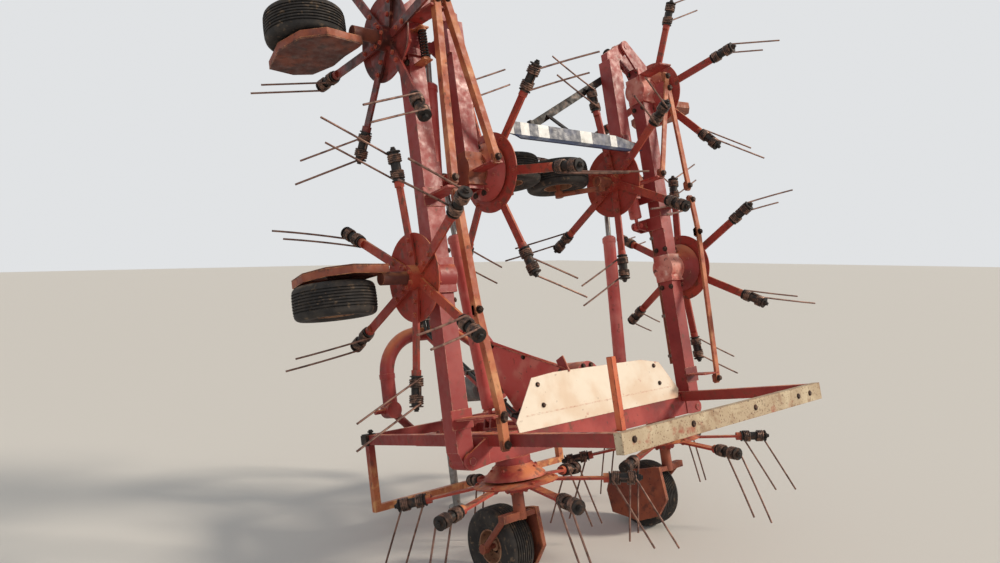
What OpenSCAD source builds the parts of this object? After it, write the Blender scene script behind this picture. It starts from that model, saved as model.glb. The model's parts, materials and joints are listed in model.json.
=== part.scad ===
// Folded hay tedder with eight tined rotors: centre frame, two folding wings and two folded-back ends.
// Every body is drawn flat, as at work, then folded for the road and leaned onto its wheels and stand.

/* [Layout] */
// Distance between neighbouring rotor axes
rotor_pitch = 1150; // [1080:5:1250]
// Forward lean of the parked machine in degrees
park_tilt = 11.4; // [8:0.1:14]
// Height of the wing beams' centre line above the rotor discs
beam_lift = 136; // [125:1:150]
// Height of the centre beam's centre line above the rotor discs
main_lift = 182; // [175:1:200]
// Wing pivot's distance from the middle
pivot_x = 864.5; // [850:0.5:880]
// Wing pivot's height above the rotor discs
pivot_z = 151; // [145:1:156]
// Outer hinge's distance from the middle, with the wing lowered
hinge_x = 3139.5; // [3120:0.5:3160]
// Outer hinge's height above the rotor discs, with the wing lowered
hinge_z = 270; // [262:1:280]

/* [Beams] */
// Side of the wing and end beams' square tube
beam_w = 90; // [80:1:100]
// Side of the centre beam's square tube
main_w = 120; // [110:1:126]
// Wall of the beams
beam_wall = 8; // [5:1:12]
// Thickness of pivot lugs
lug_t = 14; // [10:1:20]
// Radius of the fold pins
fold_pin_r = 18; // [14:0.5:22]
// Running clearance of pins in their bores
pin_gap = 0.08; // [0.05:0.01:0.1]
// Gap between faces that move past each other
side_gap = 6; // [5:0.5:8]

/* [Rotor] */
// Radius of the rotor disc
disc_r = 206; // [190:1:225]
// Thickness of the disc's sheet
disc_t = 5; // [4:0.5:8]
// Depth of the disc's dish
dish = 16; // [10:1:20]
// Radius of the hub under the gearbox
hub_r = 58; // [50:1:66]
// Arms on a rotor
arm_count = 6; // [5:1:7]
// Width of an arm's flat bar
arm_w = 44; // [36:1:52]
// Thickness of an arm's flat bar
arm_t = 12; // [8:1:14]
// Radius at which the arm ends
arm_reach = 450; // [430:1:470]
// Droop of the arms in degrees
arm_droop = 6; // [4:0.5:8]

/* [Tines] */
// Radius from the rotor axis to the middle of the twin coils
coil_at = 515; // [495:1:530]
// Outer radius of a coil
coil_r = 34; // [28:1:38]
// Length of one coil
coil_len = 48; // [40:1:56]
// Gap between the twin coils
coil_gap = 26; // [20:1:32]
// Diameter of the tine wire
wire_d = 10; // [8:0.5:12]
// Length of a tine below its coil
tine_len = 365; // [330:5:380]
// Splay of the tines from square to their arm, in degrees
tine_splay = 30; // [24:1:34]

/* [Wheels] */
// Radius of the tyre
tyre_r = 188; // [180:1:192]
// Width of the tyre
tyre_w = 150; // [140:1:156]
// Radius of the rim
rim_r = 84; // [76:1:92]
// Radius of the stub axles
axle_r = 12.5; // [11:0.5:14]
// Radius of the upright legs that the rotors turn on
leg_r = 30; // [26:1:34]
// Wheel centre's drop below the rotor disc
wheel_drop = 312; // [305:1:320]
// The same drop on the outer rotors
outer_drop = 280; // [274:1:282]
// Wheel centre's lead in front of the rotor axis
wheel_lead = 184; // [176:1:190]

/* [Cylinders] */
// Radius of a cylinder's barrel
barrel_r = 38; // [30:1:40]
// Radius of a cylinder's rod
rod_r = 16; // [13:1:18]
// Distance of the lift cylinders in front of the beams' centre line
lift_y = 200; // [190:5:215]
// Distance of the end-section cylinders in front of the beams' centre line
fold_y = 100; // [95:1:105]

/* [Centre frame] */
// Half width of the guard frame
guard_x = 763; // [745:1:780]
// Distance of the rear bar behind the centre beam
guard_back = 853; // [830:1:870]
// Distance of the front bar before the centre beam
guard_front = 1095; // [1060:5:1120]
// Height of the guard frame above the rotor discs
guard_z = 256; // [250:1:262]
// Distance of the hitch frame before the centre beam
hitch_y = 1300; // [1280:5:1330]
// Half distance between the lower hitch pins' middles
hitch_half = 530; // [520:1:540]
// Height of the lower hitch pins above the rotor discs
hitch_low = 362; // [355:1:372]
// Radius of the hitch hoop's tube
hoop_r = 46; // [42:1:50]
// Height of the hitch hoop's top above the rotor discs
hoop_z = 826; // [810:2:840]
// Radius of the lower hitch pins
hitch_pin_r = 14.2; // [11:0.1:18.5]
// Height of the top-link hole above the rotor discs
top_z = 922; // [905:1:940]
// Radius of the top-link hole
top_r = 12.9; // [9.5:0.1:16.2]
// Height of the input shaft above the rotor discs
input_z = 425; // [415:1:435]
// Radius of the splined input shaft
input_r = 17.5; // [17:0.5:22]

/* [Hidden] */
$fn = 48;
LEFT = -1;
RIGHT = 1;

// Height of the middle rotors' discs over the floor, so that the middle wheels stand on it
disc_lift = tyre_r + wheel_drop * cos(park_tilt) + wheel_lead * sin(park_tilt);
// Middle of the bounding box, so that the origin lies under the middle of the box
mid_x = -22.5;
mid_y = 334.2;
leg_x = -125;
leg_y = guard_front + 64;
seat_gap = 0.3;
hub_top = 18;
hub_low = -44;
box_low = 24;
box_r = 86;
side_arm_r = 15;
arm_root = hub_r - 6;
arm_rise = disc_r * tan(arm_droop) - disc_t + 1;
coil_wall = wire_d + 1.2;
spool_r = coil_r - coil_wall - seat_gap;
main_top = main_lift + main_w / 2;
beam_low = beam_lift - beam_w / 2;
beam_top = beam_lift + beam_w / 2;

// Lower end of the lift cylinder on the centre beam, and its upper end on the lowered wing
LIFT_FOOT = [515, lift_y, 300];
LIFT_EYE = [2213.5, lift_y, 395.5];
// Lower end of the end-section cylinder on the wing, and its eye on the lowered end section
FOLD_FOOT = [hinge_x - 1126, fold_y, 245.5];
FOLD_EYE = [hinge_x + 226, fold_y, 225];
eye_r = 26;
eye_w = 24;
rod_eye_w = 2 * rod_r + 6;
cyl_pin_r = 14;
ear_t = 12;

// Wheel offset outboard of its leg: 0 stands under it, 1 outboard and -1 inboard
side_step = 68;

// Rotors: name, side, place counted outward, angle of the first arm from outboard towards the front
ROTORS = [["l1", LEFT, 1, 45], ["l2", LEFT, 2, 57], ["l3", LEFT, 3, 32], ["l4", LEFT, 4, 42],
  ["r1", RIGHT, 1, 17], ["r2", RIGHT, 2, 59], ["r3", RIGHT, 3, 39], ["r4", RIGHT, 4, 58]];
// Wheels that are there: name, side, place, offset outboard of the leg
WHEELS = [["l1", LEFT, 1, 0], ["l2", LEFT, 2, -1], ["l3", LEFT, 3, 1], ["l4", LEFT, 4, -1],
  ["r1", RIGHT, 1, 0], ["r4", RIGHT, 4, -1]];

function at(k) = (k - 0.5) * rotor_pitch;
function drop(k) = k == 4 ? outer_drop : wheel_drop;
// Place of a point of the lowered wing once the wing is up
function up(p) = [pivot_x - (p[2] - pivot_z), p[1], pivot_z + (p[0] - pivot_x)];
// Place of a point of the lowered end section once it is folded back over the lowered wing
function over(p) = [2 * hinge_x - p[0], p[1], 2 * hinge_z - p[2]];

// Leans the machine forward and stands it on its wheels
module parked() {
  translate([-mid_x, -mid_y, disc_lift]) rotate([-park_tilt, 0, 0]) children();
}

// Draws the right-hand piece, or its left-hand twin
module sided(s) {
  if (s == RIGHT) children();
  else mirror([1, 0, 0]) children();
}

// Folds what is drawn on a lowered wing up into the road position
module wing_up() {
  translate([pivot_x, 0, pivot_z]) rotate([0, -90, 0]) translate([-pivot_x, 0, -pivot_z]) children();
}

// Folds what is drawn on a lowered end section back over its wing
module end_over() {
  translate([hinge_x, 0, hinge_z]) rotate([0, 180, 0]) translate([-hinge_x, 0, -hinge_z]) children();
}

// Puts what is drawn at work into the road position, by its place k counted outward
module folded(s, k) {
  parked() sided(s) {
    if (k == 1) children();
    else if (k < 4) wing_up() children();
    else wing_up() end_over() children();
  }
}

// A round bar between two points
module bar_between(a, b, r) {
  d = b - a;
  len = norm(d);
  translate(a) rotate([0, acos(d[2] / len), atan2(d[1], d[0])]) cylinder(r = r, h = len);
}

// A round bar along Y
module y_bar(x, z, r, y0, y1) {
  translate([x, y0, z]) rotate([-90, 0, 0]) cylinder(r = r, h = y1 - y0);
}

// A plate that stands square to Y, drawn in X and Z
module y_plate(y0, y1, points) {
  translate([0, y1, 0]) rotate([90, 0, 0]) linear_extrude(height = y1 - y0) polygon(points);
}

// A square tube along X
module tube_x(x0, x1, z, w) {
  difference() {
    translate([x0, -w / 2, z - w / 2]) cube([x1 - x0, w, w]);
    translate([x0 - 1, -w / 2 + beam_wall, z - w / 2 + beam_wall])
      cube([x1 - x0 + 2, w - 2 * beam_wall, w - 2 * beam_wall]);
  }
}

// Two ears that hold the foot of a cylinder between them
module ears(p, z0) {
  for (e = [-1, 1]) {
    y = p[1] + e * (eye_w / 2 + side_gap + ear_t / 2);
    y_plate(y - ear_t / 2, y + ear_t / 2,
      [[p[0] - 40, z0], [p[0] + 40, z0], [p[0] + 26, p[2]], [p[0] - 26, p[2]]]);
    y_bar(p[0], p[2], 26, y - ear_t / 2, y + ear_t / 2);
  }
}

// Single ear beside the eye of a cylinder's rod
module side_ear(p, z0) {
  y1 = p[1] - rod_eye_w / 2 - side_gap;
  y_plate(y1 - ear_t, y1, [[p[0] - 60, z0], [p[0] + 60, z0], [p[0] + 26, p[2]], [p[0] - 26, p[2]]]);
  y_bar(p[0], p[2], 30, y1 - ear_t, y1);
}

// Gearbox drum under a beam and over a rotor
module rotor_drum(x, z_top) {
  translate([x, 0, box_low]) cylinder(r = box_r + 6, h = 12);
  translate([x, 0, box_low]) cylinder(r = box_r, h = z_top - box_low);
}

// Gearbox that wraps the wing beam over a rotor
module wrap_box(x) {
  difference() {
    union() {
      rotor_drum(x, beam_low);
      translate([x - 82, -beam_w / 2 - 14, beam_low - 24]) cube([164, beam_w + 28, beam_w + 36]);
      translate([x, 0, beam_low - 24]) cylinder(r = 76, h = beam_w + 36);
    }
    translate([x - 200, -beam_w / 2 - seat_gap, beam_low - seat_gap])
      cube([400, beam_w + 2 * seat_gap, beam_w + 2 * seat_gap]);
  }
}

// Upright leg with the side arm that carries the stub axle
module leg(x, k, off, guard = 0) {
  low = -drop(k);
  knee = low + 162;
  s = off == 0 ? 1 : -off;
  arm_x = x + s * (off == 0 ? 98 : 40);
  reach = off == 0 ? 138 : 148;
  foot = [arm_x, wheel_lead, low];
  translate([x, 0, knee - 26]) cylinder(r = leg_r, h = box_low - knee + 26);
  translate([min(x, arm_x) - 20, -22, knee - 24]) cube([abs(arm_x - x) + 40, 44, 36]);
  bar_between([arm_x, 2, knee - 6], foot, side_arm_r);
  translate(foot) rotate([0, -s * 90, 0])
    rotate_extrude() polygon([[0, -17], [24, -17], [24, 17], [axle_r, 17], [axle_r, reach], [0, reach]]);
  if (guard > 0) {
    side = off == 0 ? x - 105 : arm_x + s * 21 - 3;
    translate([side, wheel_lead, low]) rotate([90, 0, 90]) linear_extrude(height = 6)
      polygon([[-225, -10], [-150, -105], [0, -143], [200, -105], [222, 25], [184, 110], [55, 158],
        [-60, 158], [-165, 172], [-206, 172]]);
    if (off == 0) translate([side + 3, -18, knee - 20]) cube([110, 36, 24]);
  }
}

// Lays what is drawn about Z onto the wheel's axle
module on_axle(w) {
  folded(w[1], w[2]) translate([at(w[2]) + w[3] * side_step, wheel_lead, -drop(w[2])])
    rotate([0, 90, 0]) children();
}

// Lays what is drawn about Z onto a rotor's axis
module on_rotor(r) {
  folded(r[1], r[2]) translate([at(r[2]), 0, 0]) children();
}

// Turns what is drawn along X into every arm of a rotor
module each_arm(a0) {
  for (i = [0:arm_count - 1])
    rotate([0, 0, a0 + i * 360 / arm_count]) rotate([0, arm_droop, 0])
      translate([0, 0, arm_rise]) children();
}

// Disc, hub, arms and coil spools of one rotor
module rotor(a0) {
  difference() {
    union() {
      translate([0, 0, hub_low]) cylinder(r = hub_r, h = hub_top - hub_low);
      rotate_extrude() polygon([[hub_r - 4, dish], [disc_r - 40, dish - 4], [disc_r, 0], [disc_r, -disc_t],
        [disc_r - 40, dish - 4 - disc_t], [hub_r - 4, dish - disc_t]]);
      each_arm(a0) {
        translate([arm_root, -arm_w / 2, -arm_t]) cube([arm_reach - arm_root, arm_w, arm_t]);
        translate([arm_reach - 30, 0, -arm_t / 2]) rotate([0, 90, 0])
          cylinder(r = spool_r, h = coil_at + coil_gap / 2 + coil_len + 6 - arm_reach + 30);
      }
    }
    translate([0, 0, hub_low - 1]) cylinder(r = leg_r + pin_gap, h = hub_top - hub_low + 2);
  }
}

// Twin coils and their two tines at the end of one arm
module tine_pair() {
  z = -arm_t / 2;
  wire_r = wire_d / 2;
  wire_y = coil_r - coil_wall / 2;
  for (e = [-1, 1]) {
    x0 = coil_at + e * coil_gap / 2;
    x1 = x0 + e * coil_len;
    translate([min(x0, x1), 0, z]) rotate([0, 90, 0]) difference() {
      cylinder(r = coil_r, h = coil_len);
      translate([0, 0, -1]) cylinder(r = coil_r - coil_wall, h = coil_len + 2);
    }
    xt = x1 - e * wire_r;
    tip = [xt + tine_len * sin(tine_splay), wire_y, z - tine_len * cos(tine_splay)];
    bar_between([xt, wire_y, z], tip, wire_r);
  }
  translate([coil_at - coil_gap, wire_y, z]) rotate([0, 90, 0]) cylinder(r = wire_r, h = 2 * coil_gap);
}

module tyre() {
  shoulder = 20;
  rotate_extrude() difference() {
    union() {
      translate([rim_r, -tyre_w / 2 + 10]) square([tyre_r - rim_r - 8, tyre_w - 20]);
      translate([rim_r + 14, -tyre_w / 2]) square([tyre_r - rim_r - 14 - shoulder, tyre_w]);
      translate([tyre_r - shoulder, -tyre_w / 2 + shoulder]) square([shoulder, tyre_w - 2 * shoulder]);
      for (e = [-1, 1]) translate([tyre_r - shoulder, e * (tyre_w / 2 - shoulder)]) circle(r = shoulder);
    }
    translate([0, -tyre_w]) square([rim_r, 2 * tyre_w]);
  }
}

module rim() {
  difference() {
    union() {
      cylinder(r = 26, h = 76, center = true);
      translate([0, 0, -8]) cylinder(r = rim_r - seat_gap, h = 8);
      difference() {
        cylinder(r = rim_r - seat_gap, h = tyre_w - 22, center = true);
        cylinder(r = rim_r - 6, h = tyre_w, center = true);
      }
    }
    cylinder(r = axle_r + pin_gap, h = tyre_w, center = true);
  }
}

// Turns what is drawn along Z so that it points from one point to another
module aimed(a, b) {
  d = b - a;
  translate(a) rotate([0, acos(d[2] / norm(d)), atan2(d[1], d[0])]) children();
}

// Cylinder barrel from its foot towards its eye, with the foot's pin
module barrel(foot, eye, len) {
  bore = rod_r + pin_gap;
  neck = eye_w / 2 - 1;
  aimed(foot, eye) rotate_extrude() polygon([[0, 12], [neck, 12], [neck, 48], [barrel_r - 6, 48],
    [barrel_r, 54], [barrel_r, len - 40], [barrel_r + 4, len - 40], [barrel_r + 4, len - 12],
    [barrel_r - 8, len], [bore, len],
    [bore, len - 60], [barrel_r - 6, len - 60], [barrel_r - 6, 80], [0, 80]]);
  y_bar(foot[0], foot[2], eye_r, foot[1] - eye_w / 2, foot[1] + eye_w / 2);
  pin_y = eye_w / 2 + side_gap + ear_t + 4;
  y_bar(foot[0], foot[2], cyl_pin_r, foot[1] - pin_y, foot[1] + pin_y);
}

// Cylinder rod that ends in the eye beside its ear
module rod(foot, eye, start) {
  u = (eye - foot) / norm(eye - foot);
  bar_between(foot + start * u, eye - 12 * u, rod_r);
  y_bar(eye[0], eye[2], eye_r, eye[1] - rod_eye_w / 2, eye[1] + rod_eye_w / 2);
}

// Centre frame
module main_beam() color("firebrick") parked() {
  ear_y = beam_w / 2 + side_gap;
  difference() {
    union() {
      tube_x(-pivot_x + 92, pivot_x - 92, main_lift, main_w);
      for (s = [LEFT, RIGHT]) sided(s) {
        translate([pivot_x - 102, -ear_y - lug_t, main_lift - main_w / 2])
          cube([10, 2 * (ear_y + lug_t), main_w]);
        for (e = [-1, 1]) {
          y0 = e > 0 ? ear_y : -ear_y - lug_t;
          y_plate(y0, y0 + lug_t,
            [[pivot_x - 100, pivot_z - 29], [pivot_x, pivot_z - 40], [pivot_x + 34, pivot_z],
            [pivot_x, pivot_z + 40], [pivot_x - 100, main_top]]);
          y_bar(pivot_x, pivot_z, 40, y0, y0 + lug_t);
        }
        translate([LIFT_FOOT[0] - 40, 4 - main_w / 2, main_top]) cube([80, lift_y + 24 + main_w / 2, 12]);
        ears(LIFT_FOOT, main_top);
      }
    }
    for (s = [LEFT, RIGHT]) sided(s) {
      y_bar(pivot_x, pivot_z, fold_pin_r + pin_gap, -200, 200);
      y_bar(LIFT_FOOT[0], LIFT_FOOT[2], cyl_pin_r + pin_gap, 0, 400);
    }
  }
}

module centre_gearbox() color("firebrick") parked() {
  translate([-110, -28, main_top]) cube([220, 122, 110]);
  y_bar(0, input_z, 95, -28, 110);
  difference() {
    y_bar(0, input_z, 45, 100, 900);
    y_bar(0, input_z, 34, 300, 901);
  }
}

module centre_rotor_boxes() color("firebrick") parked()
  for (s = [LEFT, RIGHT]) sided(s) rotor_drum(at(1), main_lift - main_w / 2);

// Cross member in front of the draw bars, grown by a gap where another piece is cut to it
module hitch_cross(gap) {
  translate([-260 - gap, hitch_y - 46 - gap, main_lift - 80 - gap])
    cube([520 + 2 * gap, 92 + 2 * gap, 80 + 2 * gap]);
}

// Top tube of the hitch hoop, between its two bends
module hoop_top(r, half) {
  translate([-half, hitch_y, hoop_z]) rotate([0, 90, 0]) cylinder(r = r, h = 2 * half);
}

module hitch_frame() color("firebrick") parked() {
  hitch_pin_len = 56;
  bend_r = 250;
  foot = [hitch_half - hoop_r - 42, hitch_y, hitch_low];
  bend = [foot[0] - bend_r, hitch_y, hoop_z - bend_r];
  difference() {
    union() {
      hoop_top(hoop_r, bend[0] - 4);
      for (s = [LEFT, RIGHT]) sided(s) {
        bar_between(foot, bend + [bend_r, 0, -4], hoop_r);
        translate(bend) rotate([90, 0, 0]) rotate([0, 0, 1.5]) rotate_extrude(angle = 87)
          translate([bend_r, 0]) circle(r = hoop_r);
        translate(bend + [bend_r, 0, -16]) cylinder(r = hoop_r + 4, h = 32);
        translate(bend + [-16, 0, bend_r]) rotate([0, 90, 0]) cylinder(r = hoop_r + 4, h = 32);
        y_bar(foot[0], foot[2], hoop_r + 6, hitch_y - 46, hitch_y + 46);
        translate(foot) rotate([0, 90, 0]) cylinder(r = hitch_pin_r + 9, h = hoop_r + 14);
        translate(foot) rotate([0, 90, 0]) cylinder(r = hitch_pin_r, h = hoop_r + 14 + hitch_pin_len);
        bar_between([230, hitch_y, main_lift - 40], foot, 26);
        translate([34, hitch_y - 120, hoop_z - 56]) cube([16, 152, 190]);
      }
    }
    hitch_cross(seat_gap);
    translate([-100, hitch_y - 20, top_z]) rotate([0, 90, 0]) cylinder(r = top_r, h = 200);
  }
}

module draw_bars() color("firebrick") parked() {
  hitch_cross(0);
  for (s = [LEFT, RIGHT]) sided(s)
    translate([200, main_w / 2, main_lift - 80]) cube([60, hitch_y - main_w / 2 - 10, 80]);
}

module hitch_struts() color("firebrick") parked() difference() {
  for (s = [LEFT, RIGHT]) sided(s)
    aimed([230, 190, main_lift - 32], [112, hitch_y, hoop_z]) rotate([0, 0, 125])
      cylinder(r = 24, h = norm([118, hitch_y - 190, hoop_z + 32 - main_lift]));
  for (s = [LEFT, RIGHT]) sided(s)
    translate([190, 0, main_lift - 90]) cube([80, hitch_y, 90 + seat_gap]);
  hoop_top(hoop_r + seat_gap, 200);
}

module input_shaft() color("silver") parked() {
  y_bar(0, input_z, input_r, 850, 1100);
  y_bar(0, input_z, 34 - pin_gap, 700, 960);
}

module input_guard() color("dimgray") parked() difference() {
  y_bar(0, input_z, 80, 900 + seat_gap, 1070);
  y_bar(0, input_z, 75, 906, 1071);
  y_bar(0, input_z, 40, 890, 910);
}

module guard_frame() color("brown") parked() {
  bar_h = 56;
  difference() {
    union() {
      for (s = [LEFT, RIGHT]) sided(s) {
        translate([guard_x - 40, -guard_back, guard_z - bar_h]) cube([40, guard_back + guard_front, bar_h]);
        translate([guard_x - 40, guard_front - 40, -185]) cube([40, 40, guard_z + 185 - 10]);
        translate([guard_x - 76, -50, main_top + seat_gap]) cube([76, 100, guard_z - main_top - seat_gap]);
        translate([200, guard_front - 40, main_lift + seat_gap]) cube([60, 40, guard_z - bar_h - main_lift]);
      }
      translate([-guard_x, guard_front - 40, guard_z - bar_h]) cube([2 * guard_x, 40, bar_h]);
      translate([-guard_x, guard_front - 40, -185]) cube([2 * guard_x, 40, 40]);
      translate([leg_x, leg_y, guard_z - 120]) cylinder(r = 36, h = 120);
      translate([leg_x - 20, guard_front - 10, guard_z - 110]) cube([40, leg_y - guard_front, 90]);
    }
    translate([leg_x, leg_y, guard_z - 300]) cylinder(r = 25 + pin_gap, h = 400);
    translate([-900, -main_w / 2 - 6, 0]) cube([1800, main_w + 12, main_top + seat_gap]);
  }
}

module rear_bar() color("antiquewhite") parked()
  translate([-guard_x - 10, -guard_back - 40 - seat_gap, guard_z - 80]) cube([2 * guard_x + 20, 40, 82]);

module cover_plate() color("bisque") parked()
  translate([0, -main_w / 2 - 1.9, main_top - 14]) rotate([84, 0, 0])
    linear_extrude(height = 4) polygon([[-565, 0], [690, 0], [712, 50], [589, 224], [433, 253], [-262, 263],
      [-419, 251], [-572, 50]]);

module centre_legs() color("firebrick") parked()
  for (s = [LEFT, RIGHT]) sided(s) leg(at(1), 1, 0, 1);

module park_leg() color("dimgray") {
  low = -(disc_lift - leg_y * sin(park_tilt)) / cos(park_tilt);
  parked() translate([leg_x, leg_y, low + 12]) cylinder(r = 25, h = guard_z + 90 - low);
  translate([leg_x - mid_x, leg_y * cos(park_tilt) + low * sin(park_tilt) - mid_y, 0])
    cylinder(r = 54, h = 9);
}

// Wing, drawn lowered
module wing_beam() {
  ear_y = beam_w / 2 + side_gap;
  difference() {
    union() {
      tube_x(pivot_x + 46, hinge_x - 120, beam_lift, beam_w);
      y_bar(pivot_x, pivot_z, 40, -beam_w / 2, beam_w / 2);
      y_plate(-beam_w / 2, beam_w / 2,
        [[pivot_x, pivot_z - 38], [pivot_x + 50, beam_low], [pivot_x + 60, beam_low],
        [pivot_x + 60, beam_top], [pivot_x + 50, beam_top], [pivot_x, pivot_z + 38]]);
      y_bar(pivot_x, pivot_z, fold_pin_r, -ear_y - lug_t - 6, ear_y + lug_t + 6);
      for (e = [-1, 1]) {
        y0 = e > 0 ? beam_w / 2 - lug_t : -beam_w / 2;
        y_plate(y0, y0 + lug_t,
          [[hinge_x - 175, beam_low], [hinge_x - 100, beam_low], [hinge_x + 30, hinge_z - 20],
          [hinge_x - 20, hinge_z + 32], [hinge_x - 140, beam_top + 20], [hinge_x - 175, beam_top]]);
        y_bar(hinge_x, hinge_z, 38, y0, y0 + lug_t);
      }
      translate([LIFT_EYE[0] - 60, -beam_w / 2, beam_top])
        cube([120, lift_y - rod_eye_w / 2 - side_gap + beam_w / 2, 14]);
      side_ear(LIFT_EYE, beam_top);
      translate([FOLD_FOOT[0] - 40, -beam_w / 2, beam_top]) cube([80, fold_y + 28 + beam_w / 2, 12]);
      ears(FOLD_FOOT, beam_top);
    }
    y_bar(hinge_x, hinge_z, fold_pin_r + pin_gap, -200, 200);
    y_bar(FOLD_FOOT[0], FOLD_FOOT[2], cyl_pin_r + pin_gap, 50, 400);
  }
}

// End section, drawn lowered
module end_beam() {
  lug_y = beam_w / 2 - lug_t - side_gap;
  tube_x(hinge_x + 110, at(4) + 100, beam_lift, beam_w);
  y_plate(-lug_y, lug_y,
    [[hinge_x - 26, hinge_z - 20], [hinge_x + 60, beam_low + 9], [hinge_x + 130, beam_low + 9],
    [hinge_x + 130, beam_top - 9], [hinge_x + 26, hinge_z + 22]]);
  translate([hinge_x + 110, -beam_w / 2, beam_low]) cube([12, beam_w, beam_w]);
  y_bar(hinge_x, hinge_z, 34, -lug_y, lug_y);
  y_bar(hinge_x, hinge_z, fold_pin_r, -beam_w / 2 - 4, beam_w / 2 + 4);
  translate([FOLD_EYE[0] - 60, -beam_w / 2, beam_top])
    cube([120, fold_y - rod_eye_w / 2 - side_gap + beam_w / 2, 12]);
  side_ear(FOLD_EYE, beam_top);
}

module wing_boxes() for (k = [2, 3]) wrap_box(at(k));

// Offset of the wheel on its leg, for a side and a place
function offset_of(s, k) = s == LEFT && k == 2 ? -1 : k == 4 ? -1 : 1;

module left_beam() color("firebrick") folded(LEFT, 2) wing_beam();
module right_beam() color("firebrick") folded(RIGHT, 2) wing_beam();
module left_rotor_boxes() color("firebrick") folded(LEFT, 2) wing_boxes();
module right_rotor_boxes() color("firebrick") folded(RIGHT, 2) wing_boxes();
module left_legs() color("firebrick") folded(LEFT, 2)
  for (k = [2, 3]) leg(at(k), k, offset_of(LEFT, k), 1);
module right_legs() color("firebrick") folded(RIGHT, 2)
  for (k = [2, 3]) leg(at(k), k, offset_of(RIGHT, k), k - 2);
module left_end_beam() color("firebrick") folded(LEFT, 4) end_beam();
module right_end_beam() color("firebrick") folded(RIGHT, 4) end_beam();
module left_end_leg() color("firebrick") folded(LEFT, 4) end_leg();
module right_end_leg() color("firebrick") folded(RIGHT, 4) end_leg();
module end_leg() {
  wrap_box(at(4));
  leg(at(4), 4, -1);
}

// Cylinders of one side, in the road position
module lift_barrel(s) color("indianred") parked() sided(s) barrel(LIFT_FOOT, up(LIFT_EYE), 960);
module lift_rod(s) color("silver") parked() sided(s) rod(LIFT_FOOT, up(LIFT_EYE), 300);
module fold_barrel(s) color("indianred") parked() sided(s) barrel(up(FOLD_FOOT), up(over(FOLD_EYE)), 720);
module fold_rod(s) color("silver") parked() sided(s) rod(up(FOLD_FOOT), up(over(FOLD_EYE)), 130);

module rotor_at(i) color("firebrick") on_rotor(ROTORS[i]) rotor(ROTORS[i][3]);
module tines_at(i) color("dimgray") on_rotor(ROTORS[i]) each_arm(ROTORS[i][3]) tine_pair();
module tyre_at(i) color("black") on_axle(WHEELS[i]) tyre();
module rim_at(i) color("lightgray") on_axle(WHEELS[i]) rim();

main_beam();
centre_gearbox();
centre_rotor_boxes();
hitch_frame();
draw_bars();
hitch_struts();
input_shaft();
input_guard();
guard_frame();
rear_bar();
cover_plate();
centre_legs();
park_leg();
left_beam();
left_rotor_boxes();
left_legs();
right_beam();
right_rotor_boxes();
right_legs();
left_end_beam();
left_end_leg();
right_end_beam();
right_end_leg();
rotor_at(0);  // rotor_l1
rotor_at(1);  // rotor_l2
rotor_at(2);  // rotor_l3
rotor_at(3);  // rotor_l4
rotor_at(4);  // rotor_r1
rotor_at(5);  // rotor_r2
rotor_at(6);  // rotor_r3
rotor_at(7);  // rotor_r4
tines_at(0);  // tines_l1
tines_at(1);  // tines_l2
tines_at(2);  // tines_l3
tines_at(3);  // tines_l4
tines_at(4);  // tines_r1
tines_at(5);  // tines_r2
tines_at(6);  // tines_r3
tines_at(7);  // tines_r4
tyre_at(0);  // tyre_l1
tyre_at(1);  // tyre_l2
tyre_at(2);  // tyre_l3
tyre_at(3);  // tyre_l4
tyre_at(4);  // tyre_r1
tyre_at(5);  // tyre_r4
rim_at(0);  // rim_l1
rim_at(1);  // rim_l2
rim_at(2);  // rim_l3
rim_at(3);  // rim_l4
rim_at(4);  // rim_r1
rim_at(5);  // rim_r4
lift_barrel(LEFT);  // lift_barrel_left
lift_rod(LEFT);  // lift_rod_left
lift_barrel(RIGHT);  // lift_barrel_right
lift_rod(RIGHT);  // lift_rod_right
fold_barrel(LEFT);  // fold_barrel_left
fold_rod(LEFT);  // fold_rod_left
fold_barrel(RIGHT);  // fold_barrel_right
fold_rod(RIGHT);  // fold_rod_right
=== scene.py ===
# %% [markdown]
# # A folded hay tedder
# A tedder turns mown hay with spring tines on eight rotors. This one is folded for the road. The packed
# CAD model is the fixed frame, and this script dresses it: every CAD node gets a material, real coil
# springs and ribbed tyres take the place of their plain stand-ins, and small pieces are added.

# %% Start
import json
import math
import bpy
import bmesh
from mathutils import Matrix, Vector


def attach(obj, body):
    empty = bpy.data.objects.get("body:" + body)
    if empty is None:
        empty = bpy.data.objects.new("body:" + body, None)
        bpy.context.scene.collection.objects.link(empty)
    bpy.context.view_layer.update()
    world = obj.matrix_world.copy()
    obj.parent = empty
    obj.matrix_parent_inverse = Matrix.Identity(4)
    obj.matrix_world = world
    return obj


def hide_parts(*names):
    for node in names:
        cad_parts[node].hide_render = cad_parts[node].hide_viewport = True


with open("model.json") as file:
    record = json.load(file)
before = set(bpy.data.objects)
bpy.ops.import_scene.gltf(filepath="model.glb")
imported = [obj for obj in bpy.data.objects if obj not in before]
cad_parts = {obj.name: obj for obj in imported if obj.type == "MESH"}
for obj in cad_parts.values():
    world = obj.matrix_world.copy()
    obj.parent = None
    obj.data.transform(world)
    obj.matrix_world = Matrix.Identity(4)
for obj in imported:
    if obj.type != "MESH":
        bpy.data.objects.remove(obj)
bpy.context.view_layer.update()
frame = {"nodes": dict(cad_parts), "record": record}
scene = bpy.context.scene
nodes = frame["nodes"]

# %% [markdown]
# ## Sizes repeated from part.scad, in millimetres
# The parked machine leans forward on its parking leg, so none of its bars is level. A bolt is far easier
# to place on a level machine. Points are therefore written level, in millimetres, and the matrices here
# carry them into the parked place in metres. What sits on a wing is written as lowered for work and
# turned up by `up`. An end section is first folded back over its wing, by `over`.

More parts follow.
